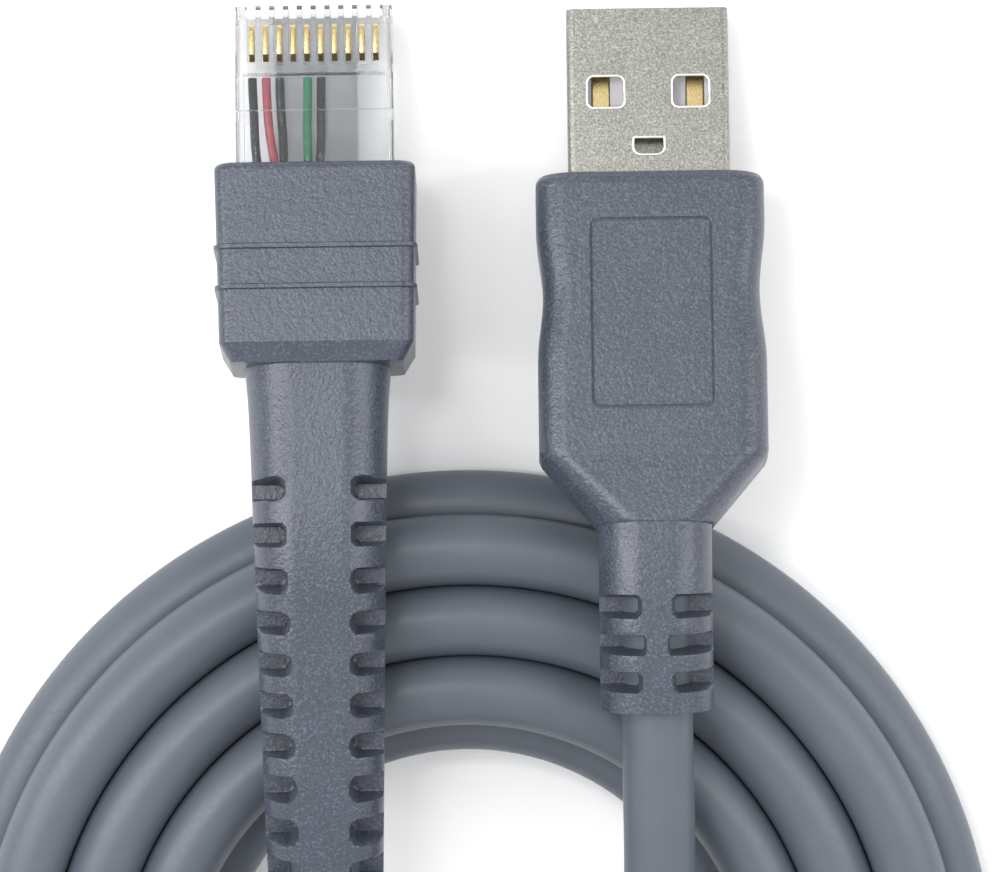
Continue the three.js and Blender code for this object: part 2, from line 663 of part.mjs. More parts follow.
function coilGeometry() {
  const outer = COIL_OUTER_RADIUS - HALF;
  const inner = outer - (COIL_BOTTOM_TURNS - 1) * CABLE_DIAMETER;
  const topOuter = outer - HALF;
  const topInner = topOuter - (COIL_TOP_TURNS - 1) * CABLE_DIAMETER;
  const top = HALF + LAYER_RISE;
  const radians = THREE.MathUtils.degToRad;
  const outline = new THREE.Path();
  outline.absarc(outer, HALF, HALF, radians(-90), radians(30));
  outline.absarc(topOuter, top, HALF, radians(30), radians(90));
  outline.absarc(topInner, top, HALF, radians(90), radians(150));
  outline.absarc(inner, HALF, HALF, radians(150), radians(270));
  outline.closePath();
  const geometry = new THREE.LatheGeometry(outline.getPoints(3), COIL_SIDES);
  geometry.rotateX(Math.PI / 2);
  return facingOut(geometry);
}

// Free cable: one easy curve from each moulded end to its place beside the coil's inner turns

const HOLLOW_RADIUS = COIL_OUTER_RADIUS - COIL_BOTTOM_TURNS * CABLE_DIAMETER;

// The centre line of a tilted end, a distance back from its tip: its place and the way that it heads.
function leavingEnd(end, stretches, distance) {
  const { y, z, angle } = alongAxis(stretches, distance);
  const leaning = end.children[0].matrixWorld;
  const place = new THREE.Vector3(0, y, z).applyMatrix4(leaning);
  const heading = new THREE.Vector3(0, -Math.cos(angle), -Math.sin(angle)).transformDirection(leaning);
  return { place, heading };
}

function tailPath({ place, heading }, lead, landing) {
  const end = new THREE.Vector3(
    landing.radius * Math.cos(landing.angle), landing.radius * Math.sin(landing.angle), landing.height,
  );
  const arriving = new THREE.Vector3(Math.cos(landing.heading), Math.sin(landing.heading), 0);
  return new THREE.CubicBezierCurve3(
    place, place.clone().addScaledVector(heading, lead),
    end.clone().addScaledVector(arriving, -landing.lead), end,
  );
}

// Assembly

function tiltedEnd(x, tipY, tilt, meshes) {
  const leaning = new THREE.Group();
  leaning.rotation.x = -tilt;
  for (const part of meshes) leaning.add(part);
  const standing = new THREE.Group();
  standing.add(leaning);
  standing.rotation.z = END_YAW;
  standing.position.set(x, tipY, 0);
  standing.updateMatrixWorld(true);
  standing.position.z = -new THREE.Box3().setFromObject(standing, true).min.z;
  return standing;
}

const scannerMeshes = [
  mesh('plug_housing', plugHousing(), CLEAR),
  mesh('scanner_overmould', scannerOvermould(), GREY),
];
for (let i = 0; i < CONTACT_COUNT; i += 1) {
  scannerMeshes.push(mesh(`plug_contact_${i + 1}`, plugContact(i), GOLD));
}
for (const wire of WIRES) {
  const look = { color: WIRE_COLOURS[wire.colour], roughness: 0.4, metalness: 0 };
  scannerMeshes.push(mesh(wire.name, plugWire(wire), look));
}

const usbMeshes = [
  mesh('usb_shell', usbShell(), STEEL),
  mesh('usb_insulator', usbInsulator(), WHITE),
  mesh('usb_overmould', usbOvermould(), GREY),
];
USB_CONTACTS.forEach((x, index) => {
  usbMeshes.push(mesh(`usb_contact_${index + 1}`, usbContact(x), GOLD));
});

const scannerTipY = COIL_OUTER_RADIUS + SCANNER_TIP_PAST_COIL;
const usbTipY = COIL_OUTER_RADIUS + USB_TIP_PAST_COIL;
const scannerEnd = tiltedEnd(SCANNER_END_X, scannerTipY, SCANNER_TILT, scannerMeshes);
const usbEnd = tiltedEnd(USB_END_X, usbTipY, USB_TILT, usbMeshes);
scannerEnd.updateMatrixWorld(true);
usbEnd.updateMatrixWorld(true);

const scannerTail = tailPath(
  leavingEnd(scannerEnd, SCANNER_AXIS, BOOT_END + FACE_GAP), SCANNER_TAIL_LEAD,
  {
    radius: HOLLOW_RADIUS - HALF - SCANNER_TAIL_SIDE_GAP, angle: SCANNER_TAIL_END_ANGLE,
    height: HALF + SCANNER_TAIL_ABOVE_FLOOR, heading: SCANNER_TAIL_END_HEADING,
    lead: HOLLOW_RADIUS * SCANNER_TAIL_LANDING_SHARE,
  },
);
const usbTail = tailPath(
  leavingEnd(usbEnd, USB_AXIS, RELIEF_END + FACE_GAP), USB_TAIL_LEAD,
  {
    radius: HOLLOW_RADIUS - USB_TAIL_INSIDE_COIL, angle: USB_TAIL_END_ANGLE,
    height: HALF + LAYER_RISE + USB_TAIL_ABOVE_TOP_TURN, heading: USB_TAIL_END_HEADING,
    lead: HOLLOW_RADIUS * USB_TAIL_LANDING_SHARE,
  },
);

const cable = new THREE.Group();
cable.add(scannerEnd);
cable.add(usbEnd);
cable.add(mesh('cable_coil', coilGeometry(), CABLE_GREY));
cable.add(mesh('cable_scanner_tail', tube(scannerTail, CABLE_DIAMETER, CABLE_SIDES / 2, 10), CABLE_GREY));
cable.add(mesh('cable_usb_tail', tube(usbTail, CABLE_DIAMETER, CABLE_SIDES / 2, 14), CABLE_GREY));

// The origin is under the middle of the whole cable as it lies.
cable.updateMatrixWorld(true);
const extent = new THREE.Box3().setFromObject(cable, true);
cable.position.set(-(extent.min.x + extent.max.x) / 2, -(extent.min.y + extent.max.y) / 2, -extent.min.z);

export default cable;
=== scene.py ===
"""Looks of the scanner-to-USB cable: moulded ends, clear modular plug, steel USB shell and coiled cable.

Laid out as an add-on with one operator for each group of pieces, and run as a script.
Lengths in the shape functions are millimetres in an end's own frame, and meshes are written in metres.
"""
import json
import math

import bmesh
import bpy
import numpy as np
from bpy.props import FloatProperty, FloatVectorProperty, IntProperty, PointerProperty
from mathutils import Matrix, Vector


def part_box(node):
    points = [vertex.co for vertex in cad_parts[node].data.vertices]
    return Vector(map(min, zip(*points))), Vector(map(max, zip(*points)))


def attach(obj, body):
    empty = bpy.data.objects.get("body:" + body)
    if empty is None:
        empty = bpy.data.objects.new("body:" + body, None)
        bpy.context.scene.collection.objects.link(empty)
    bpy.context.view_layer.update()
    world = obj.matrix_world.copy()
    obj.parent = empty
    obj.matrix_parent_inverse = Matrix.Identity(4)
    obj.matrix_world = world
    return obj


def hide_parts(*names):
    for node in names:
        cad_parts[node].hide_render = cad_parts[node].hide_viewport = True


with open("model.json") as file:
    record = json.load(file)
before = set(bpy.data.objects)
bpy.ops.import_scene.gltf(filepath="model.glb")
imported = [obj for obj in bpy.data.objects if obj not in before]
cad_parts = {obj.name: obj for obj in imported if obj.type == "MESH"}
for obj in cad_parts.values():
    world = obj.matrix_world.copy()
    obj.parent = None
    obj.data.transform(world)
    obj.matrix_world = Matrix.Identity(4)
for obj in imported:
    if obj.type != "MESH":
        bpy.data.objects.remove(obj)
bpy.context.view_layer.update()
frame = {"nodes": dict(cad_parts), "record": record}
RECORD = frame["record"]
NODES = frame["nodes"]

bl_info = {
    "name": "Scanner Cable",
    "version": (1, 0, 0),
    "blender": (4, 5, 0),
    "location": "View3D > Sidebar > Scanner Cable",
    "description": "Builds the looks of a coiled scanner-to-USB cable around its packed model",
    "category": "Object",
}

MM = 0.001
BODY = "root"
RIGHT_ANGLE = math.pi / 2
FULL_TURN = 2 * math.pi

# Cable and coil, as in the construction model
CABLE_DIAMETER = 5.3
CABLE_RADIUS = CABLE_DIAMETER / 2
CABLE_STEP = 1.1
CURVE_POINTS_PER_KNOT = 12
GROOVE_RISE = CABLE_DIAMETER * math.sin(math.pi / 3)
BOTTOM_TURNS = 4
TOP_TURNS = 3

# Scanner end, measured back from the plug's tip
HEAD_WIDTH = 14.8
HEAD_REAR_WIDTH = 14.25
HEAD_THICKNESS = 10.4
HEAD_FRONT = 11.9
HEAD_LENGTH = 14.9
HEAD_CORNER = 1.0
HEAD_FRONT_ROUND = 0.55
HEAD_LIP_LENGTH = 1.5
HEAD_LIP_INSET = 0.75
HEAD_REAR_STEP = 0.12
RIB_WIDTH = 0.45
RIB_SLOPE = RIB_WIDTH / 5
RIB_PROUD = 0.22
RIB_PLACES = (6.3, 9.3)
BOOT_START = HEAD_FRONT + HEAD_LENGTH
BOOT_LENGTH = 39.2
BOOT_END = BOOT_START + BOOT_LENGTH
BOOT_WIDTH = 10.35
BOOT_END_WIDTH = 8.5
BOOT_FLARE = 0.45
BOOT_FLARE_LENGTH = 2.2
BOOT_THICKNESS_RATIO = 0.78
BOOT_CORNER_SHARE = 0.42
BOOT_SLOT_PAIRS = 10
BOOT_SLOT_PITCH = 3.06
BOOT_SLOT_FIRST = 9.1
BOOT_SLOT_WIDTHS = (1.5, 1.85)
BOOT_SLOT_INNERS = (2.45, 1.85)
BOOT_SLOT_CORNER_SHARE = 0.42
BOOT_WEB = 1.5

# USB end, measured back from the shell's tip
GRIP_FRONT = 12.5
GRIP_WIDTH = 16.9
GRIP_WAIST = 0.45
WAIST_START = 3.6
WAIST_LENGTH = 10.6
GRIP_THICKNESS = 8.2
GRIP_LENGTH = 21.4
GRIP_SHOULDER = 4.7
GRIP_SHOULDER_EDGE = 0.5
SHOULDER_STEP = 0.25
SHOULDER_STEP_LENGTH = 0.07
GRIP_FRONT_ROUND = 0.9
GRIP_CORNER = 2.1
PANEL_WIDTH = 8.95
PANEL_LENGTH = 14.1
PANEL_FROM_FRONT = 3.6
PANEL_CORNER = 0.6
PANEL_DEPTH = 0.3
RELIEF_START = GRIP_FRONT + GRIP_LENGTH + GRIP_SHOULDER
RELIEF_DIAMETER = 8.35
RELIEF_CORNER = 3.1
RELIEF_LENGTH = 13.2
RELIEF_END = RELIEF_START + RELIEF_LENGTH
RELIEF_SLOT_ROWS = (5.6, 8.15, 10.85)
RELIEF_SLOT_WIDTH = 1.4
RELIEF_SLOT_INNERS = (1.2, 0.8, 1.2)
RELIEF_SLOT_CORNER_SHARE = 0.3
RELIEF_WEB = 2.0
SLOT_FLOOR_UNDER_CABLE = 0.06

# Stretches of each end's centre line behind its tip: length, and degrees that it turns down
LEVEL_OUT = None
BOOT_BEND_FROM_START = 8.7
BOOT_BEND_LENGTH = 7.4
BOOT_DROOP_LENGTH = 9.5
BOOT_DROOP = 16
BOOT_END_STRAIGHT = 0.6
USB_BEND_AHEAD_OF_RELIEF = 0.8
USB_BEND_LENGTH = 9.0
PAST_THE_END = 100
SCANNER_STRETCHES = (
    (BOOT_START + BOOT_BEND_FROM_START, 0),
    (BOOT_BEND_LENGTH, LEVEL_OUT),
    (BOOT_LENGTH - BOOT_BEND_FROM_START - BOOT_BEND_LENGTH - BOOT_DROOP_LENGTH - BOOT_END_STRAIGHT, 0),
    (BOOT_DROOP_LENGTH, BOOT_DROOP),
    (PAST_THE_END, 0),
)
USB_STRETCHES = (
    (RELIEF_START - USB_BEND_AHEAD_OF_RELIEF, 0),
    (USB_BEND_LENGTH, LEVEL_OUT),
    (PAST_THE_END, 0),
)

# Rows of the moulded skins, and the points of a quarter section past its columns: flat, corner and side
ARC_POINTS = 7
SHARP_ANGLE = 40
FLAT_SHARE = 0.96
SCANNER_ROW_STEP = 0.125
SCANNER_COLUMNS = np.linspace(0, 1.3, 8)
SCANNER_QUARTER = (2, 38, 4)
BOOT_STATIONS = 40
USB_ROW_STEP = 0.132
USB_QUARTER = (4, 32, 6)
WAIST_STATIONS = 25
PANEL_COLUMNS = 18
PANEL_EDGE_COLUMNS = 9
PANEL_EDGE_BAND = 0.2
WIDTH_BLUR, HEIGHT_BLUR, CORNER_BLUR = 3, 2, 4

# How far inside and outside an outline its wall starts and ends
BOOT_SLOT_WALL = (-0.2, 0.04)
RELIEF_SLOT_WALL = (-0.16, 0.04)
PANEL_WALL = (-0.16, 0.06)

# Holes in the shell's upper face and the tongue in the catch hole
SHELL_TOP = 2.25
SHELL_ROUND_SHARE = 2.4
CATCH_FRONT = 9.74
CATCH_HALF_WIDTH = 1.15
CATCH_LENGTH = 1.33
CATCH_DEPTH = 0.6
CATCH_REAR_DEPTH = 0.08
CATCH_CORNER = 0.6
CATCH_THICKNESS = 0.22
RIM_RADIUS = 0.1
RIM_PROUD = 0.03
RIM_INSET = 0.04
WINDOW_MIDDLE = 6.3
WINDOW_SIDE = 3.15
WINDOW_HALVES = (1.425, 1.25)
WINDOW_CORNERS = (0.5, 0.5)
CATCH_MIDDLE = 10.4
CATCH_HALVES = (1.2, 0.7)
CATCH_CORNERS = (0.1, 0.6)

# Rims: name, middle across, middle back, half sizes, and the corners ahead and behind
RIMS = (
    ("window_rim_left", -WINDOW_SIDE, WINDOW_MIDDLE, WINDOW_HALVES, WINDOW_CORNERS),
    ("window_rim_right", WINDOW_SIDE, WINDOW_MIDDLE, WINDOW_HALVES, WINDOW_CORNERS),
    ("catch_rim", 0, CATCH_MIDDLE, CATCH_HALVES, CATCH_CORNERS),
)
USB_CONTACT_COUNT = 4

# Wires in the clear plug: node, finish, lane and sideways drift towards the rear
WIRES = (
    ("plug_wire_black_1", "wire_black", 0, 0.6),
    ("plug_wire_red", "wire_red", 1, 0.95),
    ("plug_wire_black_2", "wire_black", 2, 0.5),
    ("plug_wire_green", "wire_green", 4, -0.15),
    ("plug_wire_black_3", "wire_black", 5, -0.3),
)
CONTACT_PITCH = 1.02
CONTACT_COUNT = 10
WIRE_DIAMETER = 0.66
WIRE_LEVEL = 1.65
WIRE_FRONT = 5.2
WIRE_REAR = 14.8
WIRE_DRIFT_POWER = 1.6
WIRE_SWAY = 0.08
WIRE_SWAY_ANGLE = 9
WIRE_RISE = 0.05
WIRE_RISE_ANGLE = 7
WIRE_POINTS = 40
WIRE_SIDES = 14
RIM_SIDES = 12

# Free cable between the moulded ends and the coil: leads off the ends, and landings beside the coil
FACE_GAP = 0.3
TAIL_POINTS = 16
HEADING_STEP = 0.1
SCANNER_TAIL_LEAD = 9
SCANNER_TAIL_SIDE_GAP = 0.42
SCANNER_TAIL_ABOVE_FLOOR = 0.1
SCANNER_TAIL_END = (-114, -24)
SCANNER_LANDING_SHARE = 0.48
USB_TAIL_LEAD = 14
USB_TAIL_INSIDE_COIL = 0.5
USB_TAIL_ABOVE_TOP_TURN = 1.1
USB_TAIL_END = (-62.5, -127)
USB_LANDING_SHARE = 0.65
SCANNER_TAIL_IN_COIL = ((-2.6, -16.9, 2.68), (1.6, -18.2, 2.65), (5.8, -18.9, 2.65), (9.8, -18.2, 2.65))
USB_TAIL_IN_COIL = ((-10.0, -21.3, 7.6), (-4.6, -22.2, 8.0), (0.6, -20.9, 8.25), (5.1, -18.6, 8.35))
INTO_BOOT = (3.0, 1.5)
INTO_RELIEF = (1.5, 4, 6.5, 9, 11)

# Turns of the coil, in degrees round it, and the far side where a turn changes circle
COIL_START = -52
COIL_END = 228
COIL_FAR_SIDE = 270
POINTS_PER_TURN = 84
CROSSING = 40
RIDE_SHARE = 0.9
RIDE_OVER = 0.75

# Camera and lights, in metres and degrees
FRAME_WIDTH = 0.0743
CAMERA_DISTANCE = 0.62
CAMERA_LEAN = 8
CAMERA_AIM = (0.0023, 0.0431, 0.008)
SENSOR_WIDTH = 36
FLOOR_REACH = 3.0
SKY_STRENGTH = 1.03
COIL_AIM = (0, 0.02, 0)
PLUG_AIM = (-0.0115, 0.035, 0.014)

# Softboxes: name, place, what it faces, size and power as a share of the key setting
SOFTBOXES = (
    ("key_left", (-0.34, 0.1, 0.42), COIL_AIM, (0.035, 0.5), 1.6),
    ("fill_right", (0.36, 0.1, 0.36), COIL_AIM, (0.03, 0.45), 0.8),
    ("glint_ahead", (-0.06, 0.135, 0.29), PLUG_AIM, (0.05, 0.05), 0.15),
)


class CableSettings(bpy.types.PropertyGroup):
    """Sizes and colours that a user would change."""

    mould_colour: FloatVectorProperty(
        name="Mould colour", description="Blue-grey of both moulded ends", subtype="COLOR",
        size=3, min=0.0, max=1.0, default=(0.047, 0.056, 0.078),
    )
    cable_colour: FloatVectorProperty(
        name="Cable colour", description="Grey of the cable's jacket", subtype="COLOR",
        size=3, min=0.0, max=1.0, default=(0.089, 0.104, 0.128),
    )
    grain: FloatProperty(
        name="Mould grain", description="Strength of the moulded grain", default=0.6, min=0.0, max=1.0,
    )
    edge_round: FloatProperty(
        name="Edge round", description="Round on the edges of the plug, shell and contacts",
        default=0.00005, min=0.0, max=0.0003, unit="LENGTH",
    )
    cable_sides: IntProperty(
        name="Cable sides", description="Faces round the cable", default=24, min=8, max=64,
    )
    key_power: FloatProperty(
        name="Key light", description="Power of the main softbox", default=1.1, min=0.0, unit="POWER",
    )
    floor_colour: FloatVectorProperty(
        name="Floor colour", description="Colour of the plain floor", subtype="COLOR",
        size=3, min=0.0, max=1.0, default=(0.99, 0.99, 0.99),
    )


def settings():
    """The user's settings on the current scene."""
    return bpy.context.scene.scanner_cable


# Frames of the two ends

def mount(name):
    """The record's mount of that name."""
    return next(item for item in RECORD["mounts"] if item["name"] == name)


class EndFrame:
    """The tilted frame of one end: x across, y towards the tip, z out of the face that looks up."""

    def __init__(self, mount_name, mount_place, stretches):
        face = mount(mount_name)
        up = np.array(face["axis"]) / np.linalg.norm(face["axis"])
        across = -np.cross([0.0, 0.0, 1.0], up)
        across /= np.linalg.norm(across)
        forward = np.cross(up, across)
        self.turn = np.column_stack([across, forward, up])
        self.origin = np.array(face["pos_m"]) - self.turn @ (np.array(mount_place) * MM)
        tilt = math.acos(up[2])
        self.stretches = [
            (length, tilt if bend is LEVEL_OUT else math.radians(bend)) for length, bend in stretches
        ]

    def centre_line(self, back):
        """Place and slope of the centre line at distances back from the tip.

        Each stretch is a straight line or an arc, and arcs turn the line down by their angle. Along an arc
        the place moves by the radius times the change in the slope's sine and cosine.
        """
        back = np.asarray(back, float)
        y, z, angle = np.zeros_like(back), np.zeros_like(back), np.zeros_like(back)
        left = back.copy()
        for length, bend in self.stretches:
            run = np.clip(left, 0, length)
            if bend == 0:
                y -= run * np.cos(angle)
                z -= run * np.sin(angle)
            else:
                radius = length / bend
                following = angle + run / radius
                y -= radius * (np.sin(following) - np.sin(angle))
                z -= radius * (np.cos(angle) - np.cos(following))
                angle = following
            left = left - run
        return y, z, angle

    def place(self, points):
        """Bends straight points onto the centre line, then puts them in the row frame, in metres."""
        points = np.asarray(points, float)
        x, y, z = points[..., 0], points[..., 1], points[..., 2]
        line_y, line_z, angle = self.centre_line(np.maximum(-y, 0))
        bent_y = np.where(y < 0, line_y - z * np.sin(angle), y)
        bent_z = np.where(y < 0, line_z + z * np.cos(angle), z)
        local = np.stack([x, bent_y, bent_z], axis=-1) * MM
        return self.origin + local @ self.turn.T


SCANNER_END = EndFrame("modular_plug_contact_side", (0, -6.4, 3.3), SCANNER_STRETCHES)
USB_END = EndFrame("usb_shell_top", (0, -3, SHELL_TOP), USB_STRETCHES)
COIL_LOW, COIL_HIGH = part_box("cable_coil")
COIL_RADIUS = (COIL_HIGH.x - COIL_LOW.x) / 2 / MM
COIL_HOLLOW = COIL_RADIUS - BOTTOM_TURNS * CABLE_DIAMETER
COIL_CENTRE = np.array([(COIL_LOW.x + COIL_HIGH.x) / 2, (COIL_LOW.y + COIL_HIGH.y) / 2, 0.0])


# Mesh helpers

def add_mesh(name, points, faces):
    """A mesh object at the origin from an array of points in metres and lists of corners."""
    mesh = bpy.data.meshes.new(name)
    mesh.from_pydata(points.tolist(), [], faces)
    mesh.validate()
    mesh.update()
    piece = bpy.data.objects.new(name, mesh)
    bpy.context.scene.collection.objects.link(piece)
    return piece


def ring_faces(rows, sides):
    """Quads between rows of a closed ring: each cell joins a point, its neighbour and the row behind."""
    row, side = np.meshgrid(np.arange(rows - 1), np.arange(sides), indexing="ij")
    after = (side + 1) % sides
    here, there = row * sides, (row + 1) * sides
    quads = np.stack([here + side, here + after, there + after, there + side], axis=-1)
    return quads.reshape(-1, 4)


def closed_rings(name, points):
    """A smooth skin over rings of shape (rows, sides, 3), closed by a fan to the middle of each end ring."""
    rows, sides, _ = points.shape
    ends = np.stack([points[0].mean(0), points[-1].mean(0)])
    count = rows * sides
    side = np.arange(sides)
    after = (side + 1) % sides
    first = np.stack([np.full(sides, count), after, side], axis=-1)
    last = np.stack([np.full(sides, count + 1), count - sides + side, count - sides + after], axis=-1)
    faces = ring_faces(rows, sides).tolist() + first.tolist() + last.tolist()
    piece = add_mesh(name, np.vstack([points.reshape(-1, 3), ends]), faces)
    working = bmesh.new()
    working.from_mesh(piece.data)
    bmesh.ops.recalc_face_normals(working, faces=working.faces)
    working.to_mesh(piece.data)
    working.free()
    piece.data.shade_smooth()
    piece.data.set_sharp_from_angle(angle=math.radians(SHARP_ANGLE))
    return piece


def smoothstep(low, high, value):
    """Goes from 0 at low to 1 at high as three times the square less twice the cube of the share between."""
    share = np.clip((value - low) / (high - low), 0, 1)
    return share * share * (3 - 2 * share)


def blurred(values, spread):
    """Values along a line after a running average, which rounds the edges of a profile."""
    kernel = np.hanning(2 * spread + 1)
    kernel /= kernel.sum()
    padded = np.concatenate([np.full(spread, values[0]), values, np.full(spread, values[-1])])
    return np.convolve(padded, kernel, mode="valid")


def section_rings(back, width, height, corner, columns, counts):
    """Rounded rectangles standing across the y axis, of shape (rows, sides, 3).

    A quarter has points at the given distances from the middle of the flat top, drawn in where the
    flat is narrower. Then come counted points over the rest of the flat, round the corner by equal
    angles, and down half the side. The other three quarters mirror it.
    """
    width, height, corner = (np.asarray(v, float)[:, None] for v in (width, height, corner))
    columns = np.asarray(columns, float)[None, :]
    flat = width / 2 - corner
    top_x = columns * np.minimum(1, FLAT_SHARE * flat / columns[:, -1:])
    rest, bend, side = (np.linspace(0, 1, count + 1)[None, 1:] for count in counts)
    angle = bend * RIGHT_ANGLE
    x = np.hstack([
        top_x, top_x[:, -1:] + rest * (flat - top_x[:, -1:]), flat + corner * np.sin(angle),
        width / 2 + 0 * side,
    ])
    z = np.hstack([
        height / 2 + 0 * top_x, height / 2 + 0 * rest, height / 2 - corner + corner * np.cos(angle),
        (1 - side) * (height / 2 - corner),
    ])
    ring_x = np.hstack([x[:, :-1], x[:, :0:-1], -x[:, :-1], -x[:, :0:-1]])
    ring_z = np.hstack([z[:, :-1], -z[:, :0:-1], -z[:, :-1], z[:, :0:-1]])
    ring_y = np.broadcast_to(-np.asarray(back, float)[:, None], ring_x.shape)
    return np.stack([ring_x, ring_y, ring_z], axis=-1)


def rounded_box_distance(x, y, half_x, half_y, corner):
    """Signed distance to a rounded rectangle, below zero inside it.

    It is the distance outside the rectangle shrunk by its corner, or the nearer side's when inside it,
    less the corner.
    """
    over_x = np.abs(x) - half_x + corner
    over_y = np.abs(y) - half_y + corner
    outside = np.hypot(np.maximum(over_x, 0), np.maximum(over_y, 0))
    return outside + np.minimum(np.maximum(over_x, over_y), 0) - corner


def within(distance, wall):
    """One inside an outline and zero outside it, eased across the wall between two distances."""
    return 1 - smoothstep(*wall, distance)


def sink(rings, inside, floor):
    """Moves points of both faces down to a floor height where inside is 1, and part way at its rim."""
    z = rings[..., 2]
    height = np.abs(z)
    lowered = np.where(height > floor, floor + (height - floor) * (1 - inside), height)
    rings[..., 2] = np.sign(z) * lowered


def profile(stations, step):
    """Distances back, with every station's own, and the sections between (back, width, height, corner)."""
    table = np.array(stations, float)
    even = np.arange(table[0, 0], table[-1, 0], step)
    back = np.unique(np.concatenate([even, table[:, 0]]).round(4))
    return back, [np.interp(back, table[:, 0], table[:, column]) for column in (1, 2, 3)]


def front_round(back, width, height, corner, radius):
    """Stations of a quarter-round front edge: the inset falls as one less the sine of an even angle."""
    angle = np.linspace(0, RIGHT_ANGLE, ARC_POINTS)
    inset = radius * (1 - np.sin(angle))
    places = back + radius * (1 - np.cos(angle))
    return list(zip(places, width - 2 * inset, height - 2 * inset, np.full(ARC_POINTS, corner)))


# Materials

PATTERN_SPAN = (0.3, 0.7)


def new_material(name, colour, roughness, **sockets):
    """A material with its node tree and shader, whose other sockets are named with underscores."""
    material = bpy.data.materials.new(name)
    material.use_nodes = True
    shader = material.node_tree.nodes["Principled BSDF"]
    shader.inputs["Base Color"].default_value = (*colour, 1)
    shader.inputs["Roughness"].default_value = roughness
    for socket, value in sockets.items():
        shader.inputs[socket.replace("_", " ")].default_value = value
    return material, material.node_tree, shader


def add_noise(tree, per_metre, detail, roughness=0.6, stretch=None):
    """A noise texture on the piece's own coordinates, with its scale in cycles a metre."""
    coordinates = tree.nodes.new("ShaderNodeTexCoord")
    place = coordinates.outputs["Object"]
    if stretch:
        mapping = tree.nodes.new("ShaderNodeMapping")
        mapping.inputs["Scale"].default_value = stretch
        tree.links.new(place, mapping.inputs["Vector"])
        place = mapping.outputs["Vector"]
    noise = tree.nodes.new("ShaderNodeTexNoise")
    noise.inputs["Scale"].default_value = per_metre
    noise.inputs["Detail"].default_value = detail
    noise.inputs["Roughness"].default_value = roughness
    tree.links.new(place, noise.inputs["Vector"])
    return noise.outputs["Fac"]


def add_ramp(tree, value, stops):
    """Colours between stops of (value, colour)."""
    ramp = tree.nodes.new("ShaderNodeValToRGB")
    ramp.color_ramp.elements[0].position, ramp.color_ramp.elements[0].color = stops[0]
    ramp.color_ramp.elements[1].position, ramp.color_ramp.elements[1].color = stops[-1]
    for position, colour in stops[1:-1]:
        ramp.color_ramp.elements.new(position).color = colour
    tree.links.new(value, ramp.inputs["Fac"])
    return ramp.outputs["Color"]


def add_product(tree, first, second, gain):
    """Two colours multiplied together and then by a gain."""
    mix = tree.nodes.new("ShaderNodeMix")
    mix.data_type = "RGBA"
    mix.blend_type = "MULTIPLY"
    mix.inputs["Factor"].default_value = 1.0
    tree.links.new(first, mix.inputs[6])
    tree.links.new(second, mix.inputs[7])
    scale = tree.nodes.new("ShaderNodeVectorMath")
    scale.operation = "SCALE"
    scale.inputs["Scale"].default_value = gain
    tree.links.new(mix.outputs[2], scale.inputs[0])
    return scale.outputs["Vector"]


def grey(value):
    """A grey of one value, with full alpha."""
    return (value, value, value, 1)


def shaded(colour, factor):
    """A colour times a factor, with full alpha."""
    return (*(min(1.0, channel * factor) for channel in colour), 1)


def add_tint(tree, pattern, colour, low, high):
    """The colour between a low and a high share of itself, as the pattern crosses its span."""
    return add_ramp(tree, pattern, list(zip(PATTERN_SPAN, (shaded(colour, low), shaded(colour, high)))))


def set_tint(tree, shader, pattern, colour, low, high):
    """Gives the shader the tinted colour."""
    tree.links.new(add_tint(tree, pattern, colour, low, high), shader.inputs["Base Color"])


def set_roughness(tree, shader, pattern, low, high, span=PATTERN_SPAN):
    """Gives the shader a roughness between two values, as the pattern crosses its span."""
    rough = add_ramp(tree, pattern, list(zip(span, (grey(low), grey(high)))))
    tree.links.new(rough, shader.inputs["Roughness"])


def add_bump(tree, shader, *reliefs):
    """Chains bumps of (height output, strength, height in metres) into the shader's normal."""
    normal = None
    for pattern, strength, height in reliefs:
        bump = tree.nodes.new("ShaderNodeBump")
        bump.inputs["Strength"].default_value = strength
        bump.inputs["Distance"].default_value = height
        tree.links.new(pattern, bump.inputs["Height"])
        if normal:
            tree.links.new(normal, bump.inputs["Normal"])
        normal = bump.outputs["Normal"]
    tree.links.new(normal, shader.inputs["Normal"])


def mould_material():
    """Soft moulded PVC: blue-grey with a spark-eroded grain, faint cloudy tone, and sparse bright flecks
    painted into the colour as glitter highlights.
    """
    colour = tuple(settings().mould_colour)
    material, tree, shader = new_material("mould_grey", colour, roughness=0.34, Specular_IOR_Level=0.55)
    cloud = add_noise(tree, per_metre=350, detail=3)
    grain = add_noise(tree, per_metre=5200, detail=2, roughness=0.5)
    pebble = add_noise(tree, per_metre=2300, detail=2, roughness=0.55)
    tint = add_tint(tree, cloud, colour, low=0.93, high=1.07)
    # Painted highlights: bright flecks in the base colour stand in for the grain's specular glitter
    painted_glitter = add_ramp(tree, grain, [(0.36, grey(0.5)), (0.56, grey(0.6)), (0.66, grey(1.0))])
    tree.links.new(add_product(tree, tint, painted_glitter, gain=1.65), shader.inputs["Base Color"])
    set_roughness(tree, shader, grain, low=0.26, high=0.42)
    strength = settings().grain
    add_bump(tree, shader, (grain, strength, 0.05 * MM), (pebble, strength * 0.7, 0.1 * MM))
    return material


def cable_material():
    """Extruded PVC jacket: grey and satin, with a fine unevenness."""
    colour = tuple(settings().cable_colour)
    material, tree, shader = new_material("cable_grey", colour, roughness=0.4, Specular_IOR_Level=0.4)
    cloud = add_noise(tree, per_metre=180, detail=3)
    fine = add_noise(tree, per_metre=2600, detail=3)
    set_tint(tree, shader, cloud, colour, low=0.95, high=1.05)
    set_roughness(tree, shader, fine, low=0.36, high=0.46)
    add_bump(tree, shader, (fine, 0.12, 0.03 * MM))
    return material


